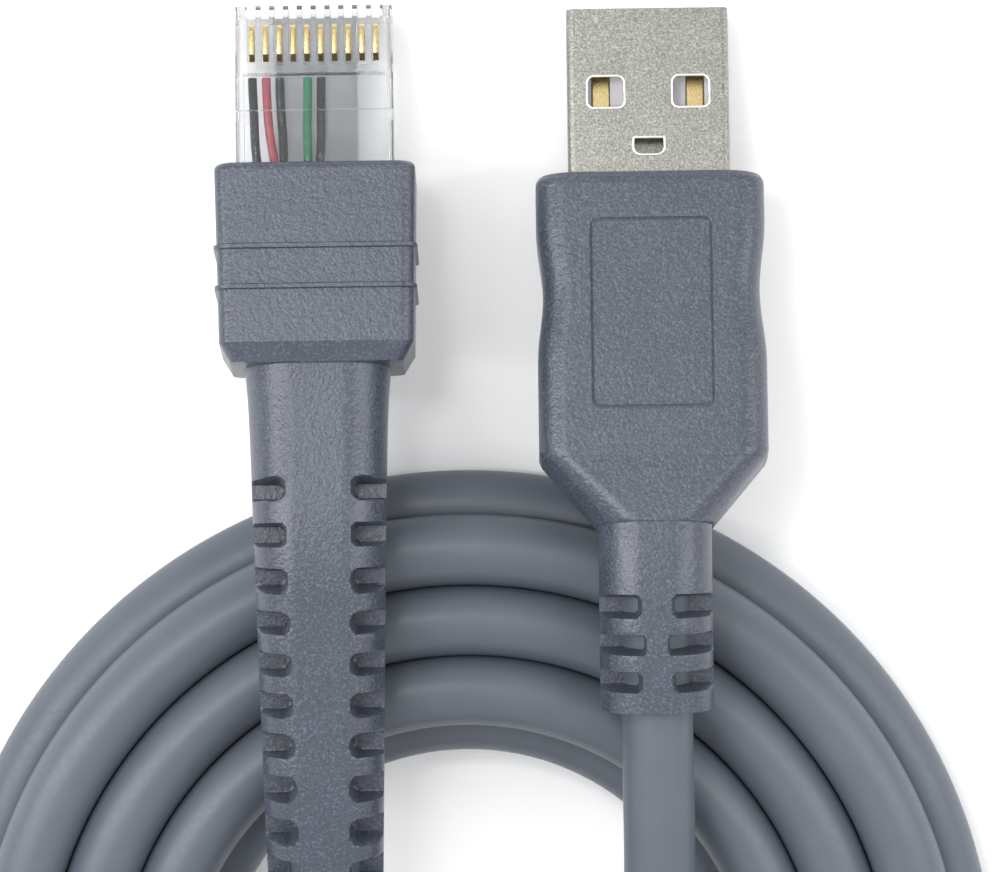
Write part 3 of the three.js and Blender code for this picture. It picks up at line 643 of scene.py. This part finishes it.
def clear_material():
    """Clear polycarbonate: nearly smooth, with faint flow lines."""
    material, tree, shader = new_material(
        "clear_plastic", (0.96, 0.97, 0.98), roughness=0.04, Transmission_Weight=1.0, IOR=1.45,
        Specular_IOR_Level=0.2,
    )
    flow = add_noise(tree, per_metre=420, detail=2, stretch=(1, 0.35, 1))
    set_roughness(tree, shader, flow, low=0.015, high=0.06, span=(0.35, 0.75))
    add_bump(tree, shader, (flow, 0.1, 0.03 * MM))
    return material


def gold_material():
    """Gold plating with fine drawing scratches along the strip."""
    material, tree, shader = new_material("contact_gold", (0.72, 0.5, 0.2), roughness=0.25, Metallic=1.0)
    scratch = add_noise(tree, per_metre=3000, detail=2, stretch=(6, 0.4, 6))
    tone = add_ramp(tree, scratch, [(0.3, (0.4, 0.29, 0.12, 1)), (0.7, (0.82, 0.66, 0.34, 1))])
    tree.links.new(tone, shader.inputs["Base Color"])
    set_roughness(tree, shader, scratch, low=0.34, high=0.2)
    add_bump(tree, shader, (scratch, 0.1, 0.02 * MM))
    return material


def steel_material():
    """Nickel plated sheet: warm grey with a fine sparkling speckle."""
    material, tree, shader = new_material("shell_steel", (0.42, 0.42, 0.385), roughness=0.36, Metallic=1.0)
    speckle = add_noise(tree, per_metre=6500, detail=3, roughness=0.75)
    patch = add_noise(tree, per_metre=600, detail=3)
    tone = add_ramp(tree, speckle, [
        (0.3, (0.15, 0.15, 0.137, 1)), (0.5, (0.27, 0.27, 0.247, 1)), (0.72, (0.52, 0.52, 0.475, 1)),
    ])
    tree.links.new(tone, shader.inputs["Base Color"])
    set_roughness(tree, shader, patch, low=0.3, high=0.42)
    add_bump(tree, shader, (speckle, 0.3, 0.03 * MM))
    return material


def edge_material():
    """Bright burnished edge of the punched steel."""
    material, tree, shader = new_material("shell_edge", (0.9, 0.9, 0.86), roughness=0.22, Metallic=1.0)
    wear = add_noise(tree, per_metre=2500, detail=2)
    set_roughness(tree, shader, wear, low=0.16, high=0.3)
    return material


def white_material():
    """Moulded insulator, slightly cool white."""
    colour = (0.78, 0.76, 0.8)
    material, tree, shader = new_material("insulator_white", colour, roughness=0.45, Subsurface_Weight=0.1)
    shader.inputs["Subsurface Scale"].default_value = 0.6 * MM
    cloud = add_noise(tree, per_metre=900, detail=2)
    set_tint(tree, shader, cloud, colour, low=0.95, high=1.05)
    add_bump(tree, shader, (cloud, 0.1, 0.03 * MM))
    return material


def wire_material(slot_name, colour):
    """Glossy wire insulation with a slightly uneven tone."""
    material, tree, shader = new_material(slot_name, colour, roughness=0.25, Specular_IOR_Level=0.5)
    cloud = add_noise(tree, per_metre=1500, detail=2)
    set_tint(tree, shader, cloud, colour, low=0.85, high=1.2)
    add_bump(tree, shader, (cloud, 0.15, 0.04 * MM))
    return material


WIRE_COLOURS = {
    "wire_black": (0.012, 0.013, 0.017),
    "wire_red": (0.42, 0.06, 0.09),
    "wire_green": (0.008, 0.2, 0.08),
}
FINISHES = {
    "overmould_grey": mould_material,
    "cable_grey": cable_material,
    "clear_plastic": clear_material,
    "contact_gold": gold_material,
    "shell_steel": steel_material,
    "shell_edge": edge_material,
    "insulator_white": white_material,
}
MATERIALS = {}


def material_for(finish):
    """The one material of a finish, made when it is first asked for."""
    if finish not in MATERIALS:
        if finish in WIRE_COLOURS:
            MATERIALS[finish] = wire_material(finish, WIRE_COLOURS[finish])
        else:
            MATERIALS[finish] = FINISHES[finish]()
    return MATERIALS[finish]


def finish_piece(piece, slot_name, *nodes, finish=None):
    """Gives a new piece its body and the material of its finish, and hides the nodes that it stands for.

    The finish is the one named by the slot name unless another is named.
    """
    piece.data.materials.append(material_for(finish or slot_name))
    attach(piece, BODY)
    if nodes:
        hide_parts(*nodes)
    return piece


# Shapes

def tail_line(end_frame, back, lead, radius, height, angles, landing):
    """An easy curve from a moulded end to the coil, as points from the coil's centre in millimetres.

    It is the cubic Bezier curve from a place on the end's centre line to one beside the coil's inner turn.
    Its first handle follows the centre line by the lead, and its last one lies level at the landing's
    length. The angles are those of the place round the coil and of the way that the curve arrives.
    """
    start = (end_frame.place([0, -back, 0]) - COIL_CENTRE) / MM
    heading = start - (end_frame.place([0, HEADING_STEP - back, 0]) - COIL_CENTRE) / MM
    heading /= np.linalg.norm(heading)
    place, arriving = np.radians(angles)
    end = np.array([radius * math.cos(place), radius * math.sin(place), height])
    arrival = np.array([math.cos(arriving), math.sin(arriving), 0.0])
    t = np.linspace(0, 1, TAIL_POINTS)[:, None]
    return (
        (1 - t)**3 * start + 3 * (1 - t)**2 * t * (start + lead * heading)
        + 3 * (1 - t) * t**2 * (end - landing * arrival) + t**3 * end
    )


def coil_line():
    """The turns of the coil, as points from its centre in millimetres.

    They run round four lower circles, each a diameter wider than the last, and back in round three
    upper circles that lie in their grooves. A turn changes circle on the coil's far side, where the
    upper turns ride over the lower ones.
    """
    outer = COIL_RADIUS - CABLE_RADIUS
    low, high = CABLE_RADIUS, CABLE_RADIUS + GROOVE_RISE
    circles = [outer - (BOTTOM_TURNS - 1 - turn) * CABLE_DIAMETER for turn in range(BOTTOM_TURNS)]
    circles += [outer - CABLE_RADIUS - turn * CABLE_DIAMETER for turn in range(TOP_TURNS)]
    heights = [low] * BOTTOM_TURNS + [high] * TOP_TURNS
    start = math.radians(COIL_START)
    end = math.radians(COIL_END) + FULL_TURN * (len(circles) - 1)
    angle = np.linspace(start, end, POINTS_PER_TURN * len(circles))
    turn = (angle - math.radians(COIL_FAR_SIDE)) / FULL_TURN
    whole = np.floor(turn + 0.5)
    reach = CROSSING / 2 / 360
    share = smoothstep(-reach, reach, turn - whole)
    before = np.clip(whole.astype(int), 0, len(circles) - 1)
    after = np.clip(whole.astype(int) + 1, 0, len(circles) - 1)
    radius = np.take(circles, before) * (1 - share) + np.take(circles, after) * share
    height = np.take(heights, before) * (1 - share) + np.take(heights, after) * share
    near = np.clip(1 - np.abs(turn - whole) / (reach * RIDE_SHARE), 0, 1)
    height = height + np.where(height > high - 0.01, RIDE_OVER * smoothstep(0, 0.5, near), 0)
    return np.stack([radius * np.cos(angle), radius * np.sin(angle), height], axis=-1)


def cable_line():
    """The cable's centre line in metres, from inside the scanner end's boot to inside the USB relief.

    The line runs down the scanner tail, out through the coil and back along the USB tail.
    """
    scanner_tail = tail_line(
        SCANNER_END, BOOT_END + FACE_GAP, SCANNER_TAIL_LEAD,
        COIL_HOLLOW - CABLE_RADIUS - SCANNER_TAIL_SIDE_GAP, CABLE_RADIUS + SCANNER_TAIL_ABOVE_FLOOR,
        SCANNER_TAIL_END, COIL_HOLLOW * SCANNER_LANDING_SHARE,
    )
    usb_tail = tail_line(
        USB_END, RELIEF_END + FACE_GAP, USB_TAIL_LEAD,
        COIL_HOLLOW - USB_TAIL_INSIDE_COIL, CABLE_RADIUS + GROOVE_RISE + USB_TAIL_ABOVE_TOP_TURN,
        USB_TAIL_END, COIL_HOLLOW * USB_LANDING_SHARE,
    )
    free = np.vstack([
        scanner_tail, SCANNER_TAIL_IN_COIL, coil_line(), USB_TAIL_IN_COIL, usb_tail[::-1],
    ]) * MM + COIL_CENTRE
    into_boot = SCANNER_END.place([[0, depth - BOOT_END, 0] for depth in INTO_BOOT])
    into_relief = USB_END.place([[0, depth - RELIEF_END, 0] for depth in INTO_RELIEF])
    return resampled(np.vstack([into_boot, free, into_relief]), CABLE_STEP * MM)


def resampled(points, step):
    """Points evenly spaced along a smooth curve through the given points.

    The curve is a cubic Hermite one, whose knots are spaced by the square root of the gaps and whose
    slopes are the differences of the points across each knot.
    """
    gaps = np.sqrt(np.linalg.norm(np.diff(points, axis=0), axis=1))
    knots = np.concatenate([[0], np.cumsum(gaps)])
    slopes = np.gradient(points, knots, axis=0)
    fine = np.linspace(0, knots[-1], CURVE_POINTS_PER_KNOT * len(points))
    cell = np.clip(np.searchsorted(knots, fine, side="right") - 1, 0, len(points) - 2)
    span = (knots[cell + 1] - knots[cell])[:, None]
    t = (fine - knots[cell])[:, None] / span
    curve = (
        (2 * t**3 - 3 * t**2 + 1) * points[cell] + (t**3 - 2 * t**2 + t) * span * slopes[cell]
        + (3 * t**2 - 2 * t**3) * points[cell + 1] + (t**3 - t**2) * span * slopes[cell + 1]
    )
    along = np.concatenate([[0], np.cumsum(np.linalg.norm(np.diff(curve, axis=0), axis=1))])
    even = np.linspace(0, along[-1], int(along[-1] / step))
    return np.stack([np.interp(even, along, curve[:, axis]) for axis in range(3)], axis=-1)


def tube_rings(line, radius, sides):
    """Circles round a line. The side vector is level, and the other one is square to it and the line."""
    tangent = np.gradient(line, axis=0)
    tangent /= np.linalg.norm(tangent, axis=1)[:, None]
    side = np.cross(tangent, [0.0, 0.0, 1.0])
    side /= np.linalg.norm(side, axis=1)[:, None]
    rise = np.cross(side, tangent)
    angle = np.linspace(0, FULL_TURN, sides, endpoint=False)
    across = np.cos(angle)[None, :, None] * side[:, None, :]
    upward = np.sin(angle)[None, :, None] * rise[:, None, :]
    return line[:, None, :] + radius * (across + upward)


def head_width(from_front):
    """Width of the head block, which narrows evenly to the rear."""
    return HEAD_WIDTH + (HEAD_REAR_WIDTH - HEAD_WIDTH) * from_front / HEAD_LENGTH


def scanner_sections():
    """Sections of the head block, its ribs and lip, and the boot behind it.

    The boot tapers evenly, with a flare at its start that dies away as an exponential.
    """
    stations = front_round(HEAD_FRONT, HEAD_WIDTH, HEAD_THICKNESS, HEAD_CORNER, HEAD_FRONT_ROUND)
    proud = 2 * RIB_PROUD
    half = RIB_WIDTH / 2
    for place in RIB_PLACES:
        width, back = head_width(place), HEAD_FRONT + place
        plain_section = (width, HEAD_THICKNESS, HEAD_CORNER)
        rib_section = (width + proud, HEAD_THICKNESS + proud, HEAD_CORNER + RIB_PROUD)
        stations += [
            (back - half, *plain_section),
            (back - half + RIB_SLOPE, *rib_section),
            (back + half - RIB_SLOPE, *rib_section),
            (back + half, *plain_section),
        ]
    lip = HEAD_LENGTH - HEAD_LIP_LENGTH
    inset = 2 * HEAD_LIP_INSET
    stations += [
        (HEAD_FRONT + lip, head_width(lip), HEAD_THICKNESS, HEAD_CORNER),
        (BOOT_START - HEAD_REAR_STEP, HEAD_REAR_WIDTH - inset, HEAD_THICKNESS - inset, HEAD_CORNER),
    ]
    for from_start in np.linspace(0, BOOT_LENGTH, BOOT_STATIONS):
        width = BOOT_WIDTH + (BOOT_END_WIDTH - BOOT_WIDTH) * from_start / BOOT_LENGTH
        width += BOOT_FLARE * math.exp(-from_start / BOOT_FLARE_LENGTH)
        height = width * BOOT_THICKNESS_RATIO
        stations.append((BOOT_START + from_start, width, height, height * BOOT_CORNER_SHARE))
    return profile(stations, SCANNER_ROW_STEP)


def make_scanner_mould():
    """The head and boot in one skin, whose slots grow wider and deeper pair by pair towards the rear."""
    back, (width, height, corner) = scanner_sections()
    rings = section_rings(back, width, height, corner, SCANNER_COLUMNS, SCANNER_QUARTER)
    x, y = rings[..., 0], -rings[..., 1]
    for pair in range(BOOT_SLOT_PAIRS):
        share = pair / (BOOT_SLOT_PAIRS - 1)
        wide = BOOT_SLOT_WIDTHS[0] + (BOOT_SLOT_WIDTHS[1] - BOOT_SLOT_WIDTHS[0]) * share
        inner = BOOT_SLOT_INNERS[0] + (BOOT_SLOT_INNERS[1] - BOOT_SLOT_INNERS[0]) * share
        centre = BOOT_START + BOOT_SLOT_FIRST + pair * BOOT_SLOT_PITCH
        gap = rounded_box_distance(
            np.abs(x) - inner - BOOT_WIDTH / 2, y - centre, BOOT_WIDTH / 2, wide / 2,
            wide * BOOT_SLOT_CORNER_SHARE,
        )
        sink(rings, within(gap, BOOT_SLOT_WALL), BOOT_WEB / 2)
    return closed_rings("scanner_mould", SCANNER_END.place(rings))


def usb_sections():
    """Sections of the grip with its waist, the slanted shoulder, and the relief behind it.

    The waist is drawn in by one whole wave of a cosine.
    """
    stations = front_round(GRIP_FRONT, GRIP_WIDTH, GRIP_THICKNESS, GRIP_CORNER, GRIP_FRONT_ROUND)
    for share in np.linspace(0, 1, WAIST_STATIONS):
        drawn_in = (1 - math.cos(FULL_TURN * share)) * GRIP_WAIST
        back = GRIP_FRONT + WAIST_START + WAIST_LENGTH * share
        stations.append((back, GRIP_WIDTH - drawn_in, GRIP_THICKNESS, GRIP_CORNER))
    rear = GRIP_FRONT + GRIP_LENGTH
    edge = GRIP_SHOULDER_EDGE
    neck = RELIEF_DIAMETER + SHOULDER_STEP
    stations += [
        (rear - edge, GRIP_WIDTH, GRIP_THICKNESS, GRIP_CORNER),
        (rear, GRIP_WIDTH - edge, GRIP_THICKNESS, GRIP_CORNER),
        (RELIEF_START, neck, neck, RELIEF_CORNER),
        (RELIEF_START + SHOULDER_STEP_LENGTH, RELIEF_DIAMETER, RELIEF_DIAMETER, RELIEF_CORNER),
        (RELIEF_END, RELIEF_DIAMETER, RELIEF_DIAMETER, RELIEF_CORNER),
    ]
    return profile(stations, USB_ROW_STEP)


def make_usb_mould():
    """The grip, shoulder and relief in one skin, with the sunk panel on top and slots through the relief.

    A slot's floor is its web, or a circle just under the cable's surface where that stands higher.
    """
    back, (width, height, corner) = usb_sections()
    width, height = blurred(width, WIDTH_BLUR), blurred(height, HEIGHT_BLUR)
    corner = blurred(corner, CORNER_BLUR)
    edge, band = PANEL_WIDTH / 2, PANEL_EDGE_BAND
    columns = [
        *np.linspace(0, edge - 1.5 * band, PANEL_COLUMNS),
        *np.linspace(edge - band, edge + band, PANEL_EDGE_COLUMNS),
        edge + 2.5 * band,
    ]
    rings = section_rings(back, width, height, corner, columns, USB_QUARTER)
    x, y = rings[..., 0], -rings[..., 1]
    middle = GRIP_FRONT + PANEL_FROM_FRONT + PANEL_LENGTH / 2
    panel = rounded_box_distance(x, y - middle, PANEL_WIDTH / 2, PANEL_LENGTH / 2, PANEL_CORNER)
    upper = rings[..., 2] > 0
    rings[..., 2] -= PANEL_DEPTH * within(panel, PANEL_WALL) * upper
    cable = CABLE_RADIUS - SLOT_FLOOR_UNDER_CABLE
    for row, inner in zip(RELIEF_SLOT_ROWS, RELIEF_SLOT_INNERS):
        gap = rounded_box_distance(
            np.abs(x) - inner - RELIEF_DIAMETER / 2, y - RELIEF_START - row,
            RELIEF_DIAMETER / 2, RELIEF_SLOT_WIDTH / 2, RELIEF_SLOT_WIDTH * RELIEF_SLOT_CORNER_SHARE,
        )
        floor = np.maximum(RELIEF_WEB / 2, np.sqrt(np.maximum(cable**2 - x**2, 0)))
        sink(rings, within(gap, RELIEF_SLOT_WALL), floor)
    return closed_rings("usb_mould", USB_END.place(rings))


def make_wire(name, lane, drift):
    """A wire from its contact back to the head.

    It is a tube along a line that drifts sideways as a power of its share, with small sine waves across
    and up.
    """
    share = np.linspace(0, 1, WIRE_POINTS)
    x = (lane - (CONTACT_COUNT - 1) / 2) * CONTACT_PITCH + drift * share**WIRE_DRIFT_POWER
    x = x + WIRE_SWAY * np.sin(WIRE_SWAY_ANGLE * share + 2 * lane) * share
    y = -(WIRE_FRONT + (WIRE_REAR - WIRE_FRONT) * share)
    z = WIRE_LEVEL + WIRE_RISE * np.sin(WIRE_RISE_ANGLE * share + lane)
    line = SCANNER_END.place(np.stack([x, y, z], axis=-1))
    return closed_rings(name + "_skin", tube_rings(line, WIRE_DIAMETER / 2 * MM, WIRE_SIDES))


def make_catch_plate():
    """The tongue of steel in the shell's catch hole: a D in plan that slopes down towards the tip.

    Its front is straight, and a quarter circle rounds each rear corner.
    """
    half, length, corner = CATCH_HALF_WIDTH, CATCH_LENGTH, CATCH_CORNER
    angle = np.linspace(0, RIGHT_ANGLE, ARC_POINTS + 1)
    bend = [half - corner, corner - length] + corner * np.stack([np.cos(angle), -np.sin(angle)], axis=-1)
    plan = np.vstack([[[-half, 0], [half, 0]], bend, bend[::-1] * [-1, 1]])
    slope = (CATCH_DEPTH - CATCH_REAR_DEPTH) / length
    top = SHELL_TOP - CATCH_DEPTH - slope * plan[:, 1]
    upper = np.column_stack([plan[:, 0], plan[:, 1] - CATCH_FRONT, top])
    return closed_rings("catch_plate", USB_END.place(np.stack([upper, upper - [0, 0, CATCH_THICKNESS]])))


def rounded_loop(half_x, half_y, corners):
    """A closed outline about its middle, with one radius for the two corners ahead and one behind.

    Each corner is a quarter circle, and the first two points come again at the end to close the tube.
    """
    right, ahead = np.array([[1, -1, -1, 1], [1, 1, -1, -1]])[:, :, None]
    corner = np.where(ahead > 0, corners[0], corners[1])
    angle = np.arange(4)[:, None] * RIGHT_ANGLE + np.linspace(0, RIGHT_ANGLE, ARC_POINTS)
    x = right * (half_x - corner) + corner * np.cos(angle)
    y = ahead * (half_y - corner) + corner * np.sin(angle)
    loop = np.stack([x, y], axis=-1).reshape(-1, 2)
    return np.vstack([loop, loop[:2]])


def make_rim(name, middle, back, halves, corners):
    """The rounded sheet edge of a punched hole, as a fine bead that stands just proud of the shell."""
    loop = rounded_loop(halves[0] - RIM_INSET, halves[1] - RIM_INSET, corners)
    height = np.full(len(loop), SHELL_TOP - RIM_RADIUS + RIM_PROUD)
    line = USB_END.place(np.column_stack([loop[:, 0] + middle, loop[:, 1] - back, height]))
    return closed_rings(name, tube_rings(line, RIM_RADIUS * MM, RIM_SIDES))


def softened(node, width):
    """A copy of a node's mesh with its faces joined and its edges rounded."""
    mesh = NODES[node].data.copy()
    mesh.materials.clear()
    mesh.shade_smooth()
    piece = bpy.data.objects.new(node + "_soft", mesh)
    bpy.context.scene.collection.objects.link(piece)
    weld = piece.modifiers.new("weld", "WELD")
    weld.merge_threshold = 1e-7
    flatten = piece.modifiers.new("flatten", "DECIMATE")
    flatten.decimate_type = "DISSOLVE"
    flatten.angle_limit = math.radians(1)
    bevel = piece.modifiers.new("edges", "BEVEL")
    bevel.width = width
    bevel.segments = 3
    bevel.limit_method = "ANGLE"
    bevel.angle_limit = math.radians(35)
    bevel.use_clamp_overlap = True
    normals = piece.modifiers.new("normals", "WEIGHTED_NORMAL")
    normals.keep_sharp = False
    normals.weight = 100
    baked = bpy.data.meshes.new_from_object(piece.evaluated_get(bpy.context.evaluated_depsgraph_get()))
    piece.modifiers.clear()
    piece.data = baked
    return piece


# Stage

def make_camera():
    """Looks down at the two ends, nearly square to their faces, with the photograph's framing."""
    data = bpy.data.cameras.new("camera")
    camera = bpy.data.objects.new("camera", data)
    bpy.context.scene.collection.objects.link(camera)
    lean = math.radians(CAMERA_LEAN)
    offset = np.array([0.0, math.sin(lean), math.cos(lean)]) * CAMERA_DISTANCE
    camera.location = COIL_CENTRE + np.array(CAMERA_AIM) + offset
    camera.rotation_euler = (-lean, 0, 0)
    data.sensor_width = SENSOR_WIDTH
    data.lens = SENSOR_WIDTH * CAMERA_DISTANCE / FRAME_WIDTH
    data.clip_start, data.clip_end = 0.01, 10
    data.dof.use_dof = False
    bpy.context.scene.camera = camera


def make_floor():
    """A plain square far wider than the cable, at the height of zero."""
    reach = FLOOR_REACH
    corners = np.array([[-reach, -reach, 0], [reach, -reach, 0], [reach, reach, 0], [-reach, reach, 0]])
    floor = add_mesh("floor", corners, [[0, 1, 2, 3]])
    material, _, _ = new_material("floor_white", tuple(settings().floor_colour), roughness=0.7)
    floor.data.materials.append(material)


def make_surroundings():
    """Plain white light from all round."""
    world = bpy.data.worlds.new("surroundings")
    world.use_nodes = True
    background = world.node_tree.nodes["Background"]
    background.inputs["Color"].default_value = (1, 1, 1, 1)
    background.inputs["Strength"].default_value = SKY_STRENGTH
    bpy.context.scene.world = world


def add_softbox(name, place, target, size, power):
    """A rectangular light at a place, turned to face its target."""
    data = bpy.data.lights.new(name, "AREA")
    data.shape = "RECTANGLE"
    data.size, data.size_y = size
    data.energy = power
    light = bpy.data.objects.new(name, data)
    bpy.context.scene.collection.objects.link(light)
    light.location = place
    direction = Vector(target) - Vector(place)
    light.rotation_euler = direction.to_track_quat("-Z", "Y").to_euler()


class CABLE_OT_stage(bpy.types.Operator):
    """Makes the camera, the floor, the softboxes and the plain surroundings"""

    bl_idname = "scanner_cable.stage"
    bl_label = "Stage"

    def execute(self, context):
        make_camera()
        make_floor()
        make_surroundings()
        for name, place, target, size, share in SOFTBOXES:
            add_softbox(name, place, target, size, settings().key_power * share)
        context.scene.view_settings.view_transform = "Standard"
        return {"FINISHED"}


class CABLE_OT_cable(bpy.types.Operator):
    """Makes the coiled cable at its real length"""

    bl_idname = "scanner_cable.cable"
    bl_label = "Cable"

    def execute(self, context):
        line = cable_line()
        piece = closed_rings("cable", tube_rings(line, CABLE_RADIUS * MM, settings().cable_sides))
        finish_piece(piece, "cable_grey", "cable_coil", "cable_scanner_tail", "cable_usb_tail")
        return {"FINISHED"}


class CABLE_OT_moulds(bpy.types.Operator):
    """Makes the head and boot of the scanner end, and the grip and relief of the USB end"""

    bl_idname = "scanner_cable.moulds"
    bl_label = "Moulded ends"

    def execute(self, context):
        finish_piece(make_scanner_mould(), "overmould_grey", "scanner_overmould")
        finish_piece(make_usb_mould(), "overmould_grey", "usb_overmould")
        return {"FINISHED"}


class CABLE_OT_modular_plug(bpy.types.Operator):
    """Makes the clear plug with its blades and wires"""

    bl_idname = "scanner_cable.modular_plug"
    bl_label = "Modular plug"

    def execute(self, context):
        width = settings().edge_round
        finish_piece(softened("plug_housing", width), "clear_plastic", "plug_housing")
        for index in range(CONTACT_COUNT):
            node = f"plug_contact_{index + 1}"
            finish_piece(softened(node, width), "contact_gold", node)
        for name, slot_name, lane, drift in WIRES:
            finish_piece(make_wire(name, lane, drift), slot_name, name)
        return {"FINISHED"}


class CABLE_OT_usb_plug(bpy.types.Operator):
    """Finishes the steel shell, the insulator and the contact strips"""

    bl_idname = "scanner_cable.usb_plug"
    bl_label = "USB plug"

    def execute(self, context):
        width = settings().edge_round
        finish_piece(softened("usb_shell", width * SHELL_ROUND_SHARE), "shell_steel", "usb_shell")
        finish_piece(make_catch_plate(), "shell_steel")
        for rim in RIMS:
            finish_piece(make_rim(*rim), "shell_steel", finish="shell_edge")
        finish_piece(softened("usb_insulator", width), "insulator_white", "usb_insulator")
        for index in range(USB_CONTACT_COUNT):
            node = f"usb_contact_{index + 1}"
            finish_piece(softened(node, width), "contact_gold", node)
        return {"FINISHED"}


class CABLE_PT_panel(bpy.types.Panel):
    """Lists the settings and the groups of pieces"""

    bl_idname = "CABLE_PT_panel"
    bl_label = "Scanner Cable"
    bl_space_type = "VIEW_3D"
    bl_region_type = "UI"
    bl_category = "Scanner Cable"

    def draw(self, context):
        column = self.layout.column()
        for name in CableSettings.__annotations__:
            column.prop(context.scene.scanner_cable, name)
        for operator in OPERATORS:
            column.operator(operator.bl_idname)


OPERATORS = (CABLE_OT_stage, CABLE_OT_moulds, CABLE_OT_usb_plug, CABLE_OT_cable, CABLE_OT_modular_plug)
CLASSES = (CableSettings, *OPERATORS, CABLE_PT_panel)


def register():
    """Registers the classes and puts the settings on the scene."""
    for cls in CLASSES:
        bpy.utils.register_class(cls)
    bpy.types.Scene.scanner_cable = PointerProperty(type=CableSettings)


def unregister():
    """Takes the settings and the classes away again."""
    del bpy.types.Scene.scanner_cable
    for cls in reversed(CLASSES):
        bpy.utils.unregister_class(cls)


def main():
    """Registers the add-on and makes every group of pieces."""
    register()
    bpy.ops.scanner_cable.stage()
    bpy.ops.scanner_cable.moulds()
    bpy.ops.scanner_cable.usb_plug()
    bpy.ops.scanner_cable.cable()
    bpy.ops.scanner_cable.modular_plug()
    bpy.context.view_layer.update()


if __name__ == "__main__":
    main()
